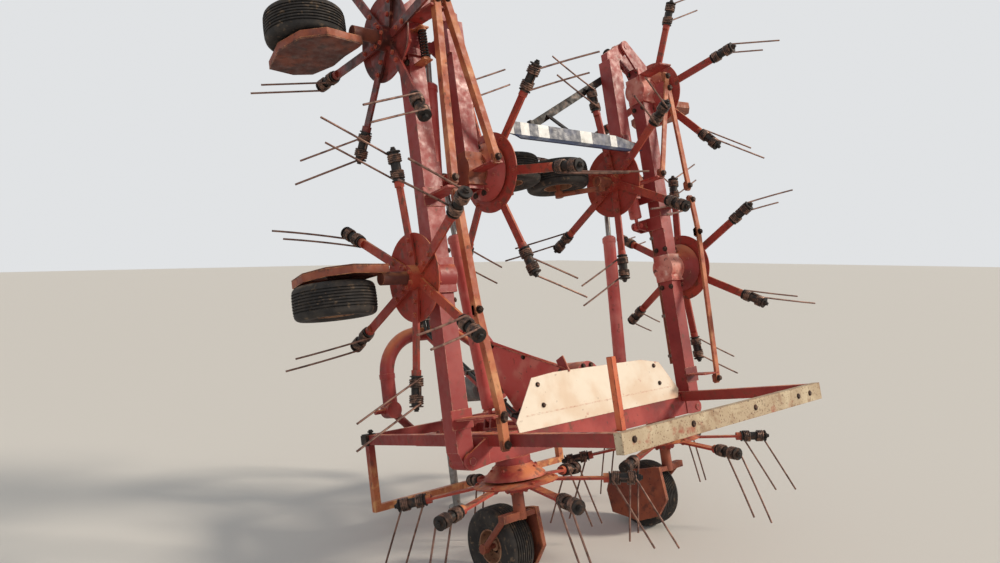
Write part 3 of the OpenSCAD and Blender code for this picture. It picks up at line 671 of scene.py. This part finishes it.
def arm_matrices(key):
    """The frames of the six arms, X along the arm and Z square to its top."""
    for i in range(6):
        yield rotor_turned(key, ROTORS[key][2] + 60 * i) @ Matrix.Rotation(ARM_DROOP, 4, "Y") @ \
            Matrix.Translation((0, 0, ARM_RISE))


def wheel_matrix(key):
    """The frame of a wheel, Z along its axle."""
    side, k, aside = WHEELS[key]
    drop = END_WHEEL_DROP if k == 4 else WHEEL_DROP
    return side_matrix(side, k, rotor_x(k) + aside * WHEEL_ASIDE, WHEEL_AHEAD, -drop) @ \
        Matrix.Rotation(math.pi / 2, 4, "Y")


def carrier(key):
    """The body that a rotor's gearbox belongs to."""
    side, k, _ = ROTORS[key]
    return "frame" if k == 1 else "wing_left" if side < 0 else "wing_right"


print(len(ROTORS), "rotors and", len(WHEELS), "wheels")

# %% [markdown]
# ## Coil-spring tines
# The heart of the machine. One length of spring wire makes each pair: up one tine, round four close
# turns, across to the second coil and down the other tine, so that a tine gives way to a stone. Sweeping
# a circle along that single path gives the true form, which separate tubes and rings wouldn't.
# Years of work have bent most of them a little. The highest rotors keep straight ones.

# %% Tines
PAIR_MIDDLE = 0.515
HALF_GAP = 0.013
COIL_LENGTH = 0.048
WIRE_HALF = 0.005
COIL_R = 0.0284
COIL_Z = -0.006
TINE_LENGTH = 0.365
TINE_SPLAY = math.radians(30)
TURNS, TURN_STEPS, TINE_STEPS = 4, 14, 8
WIRE_R, WIRE_SIDES = 0.0049, 8
BENDS = (0.016, -0.010, 0.006)
STRAIGHT_ONES = ("l3", "r3")


def tine_path(bend=0.0):
    """Points of one tine pair in its arm's frame, in metres, its tips bent aside by bend."""
    halves = []
    for e in (-1, 1):
        half = []
        outer = PAIR_MIDDLE + e * (HALF_GAP + COIL_LENGTH) - e * WIRE_HALF
        inner = PAIR_MIDDLE + e * (HALF_GAP + WIRE_HALF)
        for i in range(TINE_STEPS + 1):
            t = TINE_LENGTH * (1 - i / TINE_STEPS)
            half.append(Vector((outer + t * math.sin(TINE_SPLAY), COIL_R + bend * (t / TINE_LENGTH) ** 2,
                                COIL_Z - t * math.cos(TINE_SPLAY))))
        steps = TURNS * TURN_STEPS
        for i in range(1, steps + 1):
            a = 2 * math.pi * TURNS * i / steps
            x = outer + (inner - outer) * i / steps
            half.append(Vector((x, COIL_R * math.cos(a), COIL_Z + COIL_R * math.sin(a))))
        halves.append(half)
    return halves[0] + halves[1][::-1]


straight = sweep(tine_path(), WIRE_R, WIRE_SIDES)
bent = [sweep(tine_path(b), WIRE_R, WIRE_SIDES) for b in BENDS]
first_coil = TINE_STEPS * WIRE_SIDES
last_coil = (len(tine_path()) - TINE_STEPS - 1) * WIRE_SIDES
per_pair = len(straight[1])
for key in ROTORS:
    wires = [straight] if key in STRAIGHT_ONES else bent if key[0] == "l" else bent[::-1]
    shape = joined([placed(wires[i % len(wires)], place) for i, place in enumerate(arm_matrices(key))])
    in_coil = [1 if first_coil <= i % per_pair < last_coil else 0 for i in range(len(shape[1]))]
    made = piece(f"coil_tines_{key}", shape, None, f"rotor_{key}", slots=[tine_steel, coil_steel],
                 face_slots=in_coil)
    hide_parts(f"tines_{key}")
print("tines on", len(ROTORS), "rotors,", len(shape[1]), "faces each")

# %% [markdown]
# ## Tyres
# Small free-running tyres have ribs that go round instead of lugs, since nothing drives them. Bump on a
# torus could hint at them, but its outline would stay smooth. A section turned on a lathe gives the ribs,
# the crown that wears flat in the middle, and the bead at the rim.

# %% Tyres
CROWN_R = 0.1877
RIB_PITCH = 0.0135
GROOVE_DEPTH = 0.0075
GROOVE_TOP, GROOVE_FLOOR = 0.0036, 0.0024
SHOULDER_R, SHOULDER_AT = 0.158, 0.050
RIM_BOLTS_R, RIM_STEP = 0.052, 0.008


def shoulder(e):
    """The rounded shoulder on side e, from side wall to crown or back."""
    angles = [math.radians(15 * i if e > 0 else -90 + 15 * i) for i in range(7)]
    return [(SHOULDER_R + 0.026 * math.cos(a), e * SHOULDER_AT + 0.025 * math.sin(a)) for a in angles]


def tyre_profile():
    """Section of the tyre as (radius, height) in metres, going round."""
    wall = [(0.0845, 0.062), (0.092, 0.066), (0.100, 0.064), (0.112, 0.070), (0.135, 0.0745)]
    ribs = []
    for i in range(7):
        groove = RIB_PITCH * (i - 3)
        crown = CROWN_R - 0.9 * groove ** 2
        ribs += [(crown, groove - GROOVE_TOP), (crown - GROOVE_DEPTH, groove - GROOVE_FLOOR),
                 (crown - GROOVE_DEPTH, groove + GROOVE_FLOOR), (crown, groove + GROOVE_TOP)]
    return [(r, -z) for r, z in wall] + shoulder(-1) + ribs + shoulder(1) + wall[::-1]


for key in WHEELS:
    made = piece(f"ribbed_tyre_{key}", lathe(tyre_profile(), 72), tyre_rubber, f"wheel_{key}",
                 wheel_matrix(key))
    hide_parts(f"tyre_{key}")
    parts = []
    for side in (-1, 1):
        for i in range(4):
            turn = Matrix.Rotation(math.radians(90 * i + 45), 4, "Z")
            seat = 0 if side > 0 else -RIM_STEP
            parts.append(placed(bolt(17, 8), turn @ turned_to((RIM_BOLTS_R, 0, seat), (0, 0, side))))
    piece(f"wheel_bolts_{key}", joined(parts), dark_bolts, f"wheel_{key}", wheel_matrix(key), smooth=False)
print("tyres and wheel bolts on", len(WHEELS), "wheels")

# %% [markdown]
# ## Tine holders
# Each arm ends in a cast sleeve on which the two coils sit between flanges, closed by a washer and a nut.
# It could be several cylinders pushed together; one turned section, laid along the arm, has no faces
# hidden inside. Two bolts hold the arm under the disc.

# %% Tine holders
SLEEVE = [(0.0215, 0.446), (0.030, 0.446), (0.030, 0.452), (0.0231, 0.4525), (0.0231, 0.580), (0.032, 0.580),
          (0.032, 0.586), (0.010, 0.587), (0.010, 0.606), (0.0002, 0.606), (0.0002, 0.583), (0.0215, 0.583)]
NUT_AT = 0.587
ARM_BOLTS_AT = (0.11, 0.172)
along_arm = Matrix.Translation((0, 0, COIL_Z)) @ Matrix.Rotation(math.pi / 2, 4, "Y")
for key in ROTORS:
    parts, screws = [], []
    for place in arm_matrices(key):
        parts.append(placed(lathe(SLEEVE, 20), place @ along_arm))
        parts.append(placed(bolt(26, 12, False), place @ along_arm @ Matrix.Translation((0, 0, NUT_AT))))
        for x in ARM_BOLTS_AT:
            screws.append(placed(bolt(18, 8), place @ turned_to((x, 0, -0.012), (0, 0, -1))))
    bolt_piece(f"arm_bolts_{key}", screws, f"rotor_{key}", rotor_red)
    piece(f"tine_holders_{key}", joined(parts), black_sleeve, f"rotor_{key}")
print("holders on", len(ROTORS), "rotors")

# %% [markdown]
# ## Rotor covers and their bolts
# A pressed cone over each disc keeps hay out of the gears. It stands still, with a gap over the turning
# disc. A half sphere would be too round for it, so its flanks are drawn as a section and turned. The disc
# carries a ring of bolts, and its hub another one underneath.

# %% Rotor covers
CONE = [(0.150, 0.023), (0.148, 0.034), (0.124, 0.058), (0.100, 0.076), (0.092, 0.088), (0.084, 0.088),
        (0.090, 0.074), (0.118, 0.052), (0.141, 0.032), (0.143, 0.023)]
DISC_BOLT, DISC_SLOPE = (0.186, 0, 0.0055), (0.29, 0, 1)
HUB_BOLT = (0.044, 0, -0.044)
CONE_BOLT, CONE_SLOPE = (0.112, 0, 0.067), (0.6, 0, 0.8)
for key, (_, _, start) in ROTORS.items():
    piece(f"rotor_cover_{key}", lathe(CONE, 64), red, carrier(key), rotor_matrix(key))
    parts = []
    for i in range(6):
        turn = rotor_turned(key, start + 60 * i)
        parts.append(placed(bolt(16, 7), turn @ turned_to(DISC_BOLT, DISC_SLOPE)))
        parts.append(placed(bolt(15, 8), turn @ turned_to(HUB_BOLT, (0, 0, -1))))
    bolt_piece(f"disc_bolts_{key}", parts, f"rotor_{key}", rotor_red)
    parts = [placed(bolt(13, 6), rotor_turned(key, 22.5 + 45 * i) @ turned_to(CONE_BOLT, CONE_SLOPE))
             for i in range(8)]
    bolt_piece(f"cover_bolts_{key}", parts, carrier(key), red)
print("covers on", len(ROTORS), "rotors")

# %% [markdown]
# ## Wheel guards
# The guard sheets have a lip folded towards the wheel, which stiffens them and catches the light. It could
# be cut from a thicker guard. Here it is a band between the sheet's own outline and one a little inside.

# %% Lips of the wheel guards
GUARD = [(-225, -10), (-150, -105), (0, -143), (200, -105), (222, 25), (184, 110), (55, 158), (-60, 158),
         (-165, 172), (-206, 172)]
GUARDS = {"l1": (-99, 16), "r1": (-99, 16), "l2": (58, -34), "l3": (-58, 34), "r3": (-58, 34)}
LIP_INSIDE = 0.962
for key, (x, depth) in GUARDS.items():
    side, k, _ = ROTORS[key]
    inner = [(LIP_INSIDE * y, LIP_INSIDE * z) for y, z in GUARD]
    verts = [(d / 1000, y / 1000, z / 1000) for d in (0, depth) for edge in (GUARD, inner) for y, z in edge]
    n = len(GUARD)
    faces = []
    for i in range(n):
        j = (i + 1) % n
        faces += [(i, j, 2 * n + j, 2 * n + i), (n + j, n + i, 3 * n + i, 3 * n + j),
                  (2 * n + i, 2 * n + j, 3 * n + j, 3 * n + i), (j, i, n + i, n + j)]
    place = side_matrix(side, k, rotor_x(k) + x, WHEEL_AHEAD, -WHEEL_DROP)
    piece(f"guard_lip_{key}", (verts, faces), tan_red, carrier(key), place, bevel_mm=1.5)
print("lips on", len(GUARDS), "wheel guards")

# %% [markdown]
# ## Folding links
# Long angle-iron bars beside each wing turn the end section as the wing rises. They are jointed near the
# second and third rotor and held off the beam by brackets. Two plates could make an angle bar; one L
# outline carried along keeps its corner closed. All points are on the folded, level machine, and the two
# sides differ, as they do on the real one.

# %% Folding links
LINK_Y = -230
KNUCKLE_HALF = 15
LINKS = {  # side: segments from top to bottom, as (x, z) pairs
    "left": [((-864, 2279), (-896, 1423)), ((-891, 1345), (-857, 821)), ((-857, 821), (-795, 345)),
             ((-800, 330), (-798, 215)), ((-807, 2292), (-625, 1540))],
    "right": [((839, 2090), (883, 1479)), ((890, 1392), (908, 1193)), ((908, 1193), (859, 312)),
              ((839, 2167), (640, 1540))]}
BRACKETS = [(2250, 860), (1384, 894), (345, 822)]  # height and outer end of those on the wing's beam
for side, segments in LINKS.items():
    s = -1 if side == "left" else 1
    joints = [p for segment in segments for p in segment]
    parts = [strut(angle_iron(36, 6, s), (x0, LINK_Y, z0), (x1, LINK_Y, z1))
             for (x0, z0), (x1, z1) in segments]
    bar_piece(f"folding_links_{side}", parts, link_steel, f"wing_{side}", 1.2)
    parts = [bar(46, 56, (x, LINK_Y - KNUCKLE_HALF, z), (x, LINK_Y + KNUCKLE_HALF, z))
             for x, z in joints]
    bar_piece(f"link_knuckles_{side}", parts, tan_red, f"wing_{side}", 7)
    parts = [fixed_bolt(x, LINK_Y - 18, z, (0, -1, 0), 26, 14) for x, z in joints]
    bolt_piece(f"link_bolts_{side}", parts, f"wing_{side}")
    parts = []
    for z, x in BRACKETS:
        parts.append(bar(100, 10, (s * 880, -42, z), (s * (x - 6), LINK_Y - 8, z)))
        parts.append(bar(120, 90, (s * 880, -51, z), (s * 880, -44, z)))
    parts.append(bar(70, 10, (s * 611, -42, 1520), (s * 627, LINK_Y - 8, 1520)))
    bar_piece(f"link_brackets_{side}", parts, red, f"wing_{side}", 2)
    print(side, "links:", len(segments), "bars")

# %% [markdown]
# ## Marker board and its arm
# A folded sheet lies across between the end sections: a striped upper face and a dark lower one. The
# stripes could be a picture. As faces of the mesh with a material of their own they stay sharp. The board
# is clamped to the right end beam and held by a flat arm from the right wing.

# %% Marker board
LEFT_END, RIGHT_END = -420, 600
FOLD_Z = 1722
END_SHRINK = 0.55
stripes = [LEFT_END, -372, -322, -262, -196, -118, 126, 220, 377, 432, RIGHT_END]
section = [(-112, 1790, -105, 1790), (-112, FOLD_Z, -105, 1724), (-160, 1684, -154, 1681)]
verts, faces, tints = [], [], []
for i, x in enumerate(stripes):
    shrink = END_SHRINK if i in (0, len(stripes) - 1) else 1
    for y, z, _, _ in section:
        verts.append((x, y, FOLD_Z + shrink * (z - FOLD_Z)))
    for _, _, y, z in section:
        verts.append((x, y + 1, FOLD_Z + shrink * (z - FOLD_Z)))
for i in range(len(stripes) - 1):
    a, b = 6 * i, 6 * i + 6
    faces += [(a, a + 1, b + 1, b), (a + 1, a + 2, b + 2, b + 1), (a + 4, a + 3, b + 3, b + 4),
              (a + 5, a + 4, b + 4, b + 5), (a + 3, a, b, b + 3), (a + 2, a + 5, b + 5, b + 2)]
    tints += [i % 2, 1, 0, 1, i % 2, 1]
last = 6 * (len(stripes) - 1)
faces += [(0, 3, 4, 1), (1, 4, 5, 2), (last + 1, last + 4, last + 3, last),
          (last + 2, last + 5, last + 4, last + 1)]
tints += [0, 1, 0, 1]
piece("marker_board", (verts, faces), None, "wing_right", LEVEL, smooth=False,
      slots=[board_white, board_navy], face_slots=tints)
parts = [bar(46, 6, (-88, 50, 1848), (870, 50, 2377), (0, 1, 0)),
         bar(30, 30, (-84, 53, 1812), (-84, 53, 1880), (0, 1, 0)),
         bar(40, 8, (-84, 54, 1818), (-84, -112, 1770)),
         bar(40, 8, (60, 54, 1930), (60, -106, 1772))]
bar_piece("board_arm", parts, black_sleeve, "wing_right", 2)
parts = [bar(60, 8, (590, -40, 1800), (584, -108, 1760)),
         bar(60, 70, (600, -50, 1800), (600, -44, 1800))]
bar_piece("board_clamp", parts, red, "wing_right", 2)
print("marker board", RIGHT_END - LEFT_END, "mm long")

# %% [markdown]
# ## Guard post, rear bar and cover sheet
# A square orange post stands on the rear left corner of the guard, on a foot plate. Dark bolts hold the
# white rear bar and the pale cover, and a shallow crease runs across the cover where it was pressed. It
# could be a bump, but a low bar with rounded edges catches the light as the fold does.

# %% Post, bolts and crease
POST_AT = (-708, -839)
parts = [bar(74, 66, (-744, 1040, 229), (-744, 1112, 229)),
         bar(30, 30, (-744, 1050, 262), (-744, 1050, 286), (0, 1, 0))]
bar_piece("guard_corner_block", parts, black_sleeve, "frame", 7)
parts = [bar(28, 28, (*POST_AT, 257), (*POST_AT, 545), (0, 1, 0)),
         bar(60, 6, (-708, -832, 259), (-708, -832, 265), (0, 1, 0))]
bar_piece("marker_post", parts, orange, "frame", 2)
BAR_BACK = -893.2
parts = [fixed_bolt(x, BAR_BACK, z, (0, -1, 0), 19, 4.6) for x, z in
         [(-704, 224), (-324, 222), (154, 220), (546, 218), (659, 218)]]
bolt_piece("rear_bar_bolts", parts, "frame")
COVER_LEAN = math.radians(84)
COVER_FOOT = (-66.2, 228)
parts = []
for x, h in [(-388, 214), (-376, 109), (535, 208), (552, 104)]:
    p = (x, COVER_FOOT[0] + h * math.cos(COVER_LEAN), COVER_FOOT[1] + h * math.sin(COVER_LEAN))
    parts.append(fixed_bolt(*p, (0, -math.sin(COVER_LEAN), math.cos(COVER_LEAN)), 18, 7))
bolt_piece("cover_bolts", parts, "frame")
CREASE_H = 72
crease = (-66 + CREASE_H * math.cos(COVER_LEAN), COVER_FOOT[1] + CREASE_H * math.sin(COVER_LEAN))
parts = [bar(6, 3, (-500, *crease), (650, *crease), (0, -1, 0.1))]
bar_piece("cover_crease", parts, pale_cover, "frame", 0.8)
print("post, bolts and crease")

# %% [markdown]
# ## Tower panel
# A sheet beside the gearbox, between the beam and the hitch, keeps grass from the input shaft. Flat bars
# stiffen its edges. A plane with a thickness modifier could make the sheet; its outline as a list of real
# corners is easier to read and to change. Its red is lightened as a painted sheen.

# %% Tower panel
PANEL_X = -154
TOWER = [(-27, 499), (-18, 457), (60, 452), (120, 300), (240, 250), (408, 262), (541, 442), (626, 620),
         (626, 714), (560, 700)]
sheet = strut([(-z, y) for y, z in TOWER], (PANEL_X, 0, 0), (PANEL_X + 5, 0, 0))
# The panel's lighter red is a painted sheen.
bar_piece("tower_panel", [sheet], sheen_red, "frame", 1.5)
parts = [bar(60, 10, (-152, -20, 470), (-152, 16, 556), (1, 0, 0)),
         bar(36, 6, (-145, -20, 497), (-145, 618, 700), (0, -0.3, 1)),
         bar(30, 6, (-145, 126, 304), (-145, 404, 262)),
         bar(60, 8, (-152, 250, 262), (-110, 60, 262))]
bar_piece("tower_panel_ear", parts, red, "frame", 2)
parts = [fixed_bolt(PANEL_X - 0.5, y, z, (-1, 0, 0), 20, 9) for y, z in
         [(20, 486), (300, 585), (560, 672), (180, 300), (380, 290)]]
bolt_piece("tower_panel_bolts", parts, "frame")
print("tower panel with", len(parts), "bolts")

# %% [markdown]
# ## Hydraulic hoses
# Two black hoses run from the gearbox up the left strut and end in couplings that sit in a bracket on
# the hoop. They are clipped all the way, so nothing hangs free. A hose could be simulated; a held one
# doesn't move, so a smooth curve through its clips is enough.

# %% Hoses
HOSE_R = 10
HOSE_SHIFTS = (-13, 13)
for i, shift in enumerate(HOSE_SHIFTS):
    route = [(-112, 70 + shift, 318), (-150, 110 + shift, 322), (-196, 250, 252), (-222 + shift, 330, 262),
             (-205 + shift, 500, 366), (-180 + shift, 740, 512), (-152 + shift, 1000, 670),
             (-140 + shift, 1170, 782), (-140 + shift, 1222, 830), (-140 + shift, 1236, 890),
             (-140 + shift, 1236, 930)]
    piece(f"hydraulic_hose_{i + 1}", sweep(curve(route), HOSE_R, 10), black_rubber, "frame", LEVEL)
COUPLING = [(7, 0), (15, 0), (15, 26), (12, 30), (12, 62), (7, 62)]
parts = [placed(lathe(COUPLING, 16), Matrix.Translation((-140 + 1.5 * shift, 1236, 926)))
         for shift in HOSE_SHIFTS]
for p, q in [((-222, 330, 262), (-205, 500, 366)), ((-180, 740, 512), (-152, 1000, 670))]:
    along = (Vector(q) - Vector(p)).normalized()
    for t in (0.15, 0.85):
        c = Vector(p).lerp(Vector(q), t)
        parts.append(bar(62, 26, c - 7 * along, c + 7 * along))
parts.append(bar(78, 10, (-140, 1216, 912), (-140, 1284, 912)))
parts.append(bar(44, 8, (-140, 1280, 862), (-140, 1280, 916), (0, 1, 0)))
bar_piece("hose_clips", parts, bare_steel, "frame", 1.5)
print("hoses clipped to the strut")

# %% [markdown]
# ## Pipes on the wings
# Two steel pipes along each wing beam feed the cylinder that folds the end section. They were painted
# with the beam and are clipped to it. They could share the hoses' rubber tube, but pipe runs straight and
# bends in one place, so its points lie on straight lines with two close ones at the bend.

# %% Wing pipes
PIPE_R = 6
for side, s in (("left", -1), ("right", 1)):
    for i, y in enumerate((58, 70)):
        route = [(s * 850, y, 420), (s * 852, y, 700), (s * 852, y, 1000), (s * 850, y, 1240),
                 (s * 812, y + 12, 1296), (s * 800, y + 22, 1330)]
        piece(f"wing_pipe_{side}_{i + 1}", sweep(curve(route), PIPE_R), tan_red, f"wing_{side}", LEVEL)
    parts = [bar(20, 34, (s * 851, 62, z - 9), (s * 851, 62, z + 9), (0, 1, 0))
             for z in (470, 720, 980, 1215)]
    bar_piece(f"pipe_clips_{side}", parts, bare_steel, f"wing_{side}", 1.5)
print("wing pipes")

# %% [markdown]
# ## Lock spring
# A black spring on a rod stands before the upper left gearbox, between two small ears of the beam. Its
# turns stand apart. Rings one above the other would look right from afar only, so a helix is swept, and
# each end bears on a round seat.

# %% Lock spring
SPRING_AT = (-870, -104)
SPRING_TURNS, SPRING_STEPS, SPRING_R, SPRING_WIRE_R = 10, 18, 17, 4.2
SPRING_FOOT, SPRING_LENGTH = 2046, 138
helix = []
for i in range(SPRING_TURNS * SPRING_STEPS + 1):
    a = 2 * math.pi * i / SPRING_STEPS
    helix.append((SPRING_AT[0] + SPRING_R * math.cos(a), SPRING_AT[1] + SPRING_R * math.sin(a),
                  SPRING_FOOT + SPRING_LENGTH * i / (SPRING_TURNS * SPRING_STEPS)))
piece("lock_spring", sweep(helix, SPRING_WIRE_R), black_sleeve, "wing_left", LEVEL)
ROD = [(0.01, 0), (7, 0), (7, 196), (0.01, 196)]
SEAT = [(0.01, -4), (22, -4), (22, 4), (0.01, 4)]
parts = [placed(lathe(ROD, 16), Matrix.Translation((*SPRING_AT, 2018)))]
for ear, seat in ((2034, 2043), (2196, 2187)):
    parts.append(bar(52, 8, (SPRING_AT[0], -128, ear), (SPRING_AT[0], -44, ear)))
    parts.append(placed(lathe(SEAT, 20), Matrix.Translation((*SPRING_AT, seat))))
piece("lock_spring_rod", joined(parts), link_steel, "wing_left", LEVEL, bevel_mm=1)
print("lock spring with", SPRING_TURNS, "turns")

# %% [markdown]
# ## Bolts on beams and gearboxes
# Real beams are bolted to their gearboxes by clamps. Each bolt could be placed by eye. Loops over the
# clamps' distances put two rows on each side of every gearbox, on faces that the CAD gives, and a ring of
# eight closes the centre gearbox.

# %% Bolts on beams and gearboxes
parts = [fixed_bolt(s * x, y, 242, (0, 0, 1), 24, 14) for s in (-1, 1) for x in (480, 670) for y in (-36, 36)]
parts += [fixed_bolt(x, y, 352, (0, 0, 1), 20, 12) for x in (-90, 90) for y in (-8, 74)]
LID_R, LID_Z = 78, 425
for i in range(8):
    a = math.radians(45 * i + 22.5)
    parts.append(fixed_bolt(LID_R * math.cos(a), -28, LID_Z + LID_R * math.sin(a), (0, -1, 0), 20, 10))
bolt_piece("centre_bolts", parts, "frame")
CLAMP_Z, CLAMP_Y = 118, 34
for side, s in (("left", -1), ("right", 1)):
    parts = []
    for z in (1011.5, 2161.5):
        for dz in (-CLAMP_Z, CLAMP_Z):
            for y in (-CLAMP_Y, CLAMP_Y):
                parts.append(fixed_bolt(s * 834.5, y, z + dz, (-s, 0, 0), 22, 12))
                parts.append(fixed_bolt(s * 924.5, y, z + dz, (s, 0, 0), 22, 12))
    for dz in (-CLAMP_Z, CLAMP_Z):
        for y in (-CLAMP_Y, CLAMP_Y):
            parts.append(fixed_bolt(s * 565.5, y, 1540.5 + dz, (-s, 0, 0), 22, 12))
    bolt_piece(f"beam_bolts_{side}", parts, f"wing_{side}")
print(len(parts), "bolts on each wing")

# %% [markdown]
# ## Floor
# A plain pale floor takes the shadow. A curved backdrop would hide the horizon, but a floor this wide
# has it far away anyway.

# %% Floor
FLOOR_HALF = 60
floor_paint = bpy.data.materials.new("pale_floor")
floor_paint.use_nodes = True
floor_shader = floor_paint.node_tree.nodes["Principled BSDF"]
floor_shader.inputs["Base Color"].default_value = linear("DDDAD4")
floor_shader.inputs["Roughness"].default_value = 0.9
corners = [(x * FLOOR_HALF, y * FLOOR_HALF, 0) for x, y in ((-1, -1), (1, -1), (1, 1), (-1, 1))]
floor_mesh = bpy.data.meshes.new("floor")
floor_mesh.from_pydata(corners, [], [(0, 1, 2, 3)])
floor_mesh.materials.append(floor_paint)
floor = bpy.data.objects.new("floor", floor_mesh)
scene.collection.objects.link(floor)
print("floor", 2 * FLOOR_HALF, "m across")

# %% [markdown]
# ## Light
# An outdoor picture could light the machine, but its sun can't be moved by itself. A wide sun lamp on the
# machine's rear right side gives soft-edged shadows, and a large pale lamp fills the left. The world lights
# the machine at one level and shows itself brighter to the camera and in reflections, so the background
# stays pale without washing out the paint.

# %% Light
WORLD_LIGHT, WORLD_SEEN = 0.46, 0.88
world = bpy.data.worlds.new("studio")
scene.world = world
world.use_nodes = True
sky = world.node_tree
to_camera = node(sky, "ShaderNodeLightPath", output="Is Camera Ray")
to_gloss = node(sky, "ShaderNodeLightPath", output="Is Glossy Ray")
straight_ray = node(sky, "ShaderNodeMath", {0: to_camera, 1: to_gloss}, operation="MAXIMUM")
level = node(sky, "ShaderNodeMapRange", {"Value": straight_ray, "To Min": WORLD_LIGHT, "To Max": WORLD_SEEN})
background = sky.nodes["Background"]
background.inputs[0].default_value = linear("EEF0F2")
sky.links.new(level, background.inputs[1])


def aimed_lamp(name, kind, place, target, power, colour, **settings):
    """Adds a lamp at a place that shines at a target."""
    data = bpy.data.lights.new(name, kind)
    data.energy = power
    data.color = linear(colour)[:3]
    for key, value in settings.items():
        setattr(data, key, value)
    lamp = bpy.data.objects.new(name, data)
    scene.collection.objects.link(lamp)
    lamp.location = place
    lamp.rotation_euler = (Vector(target) - Vector(place)).to_track_quat("-Z", "Y").to_euler()


aimed_lamp("key", "SUN", (6.2, -6.2, 5.6), (0, 0, 0.8), 2.7, "FFF2E0", angle=math.radians(9))
aimed_lamp("fill", "AREA", (-8.0, -5.0, 5.0), (0, 0, 1.4), 90, "F2F6FF", size=5.0)
scene.view_settings.view_transform = "Standard"
print("two lamps and a pale world")
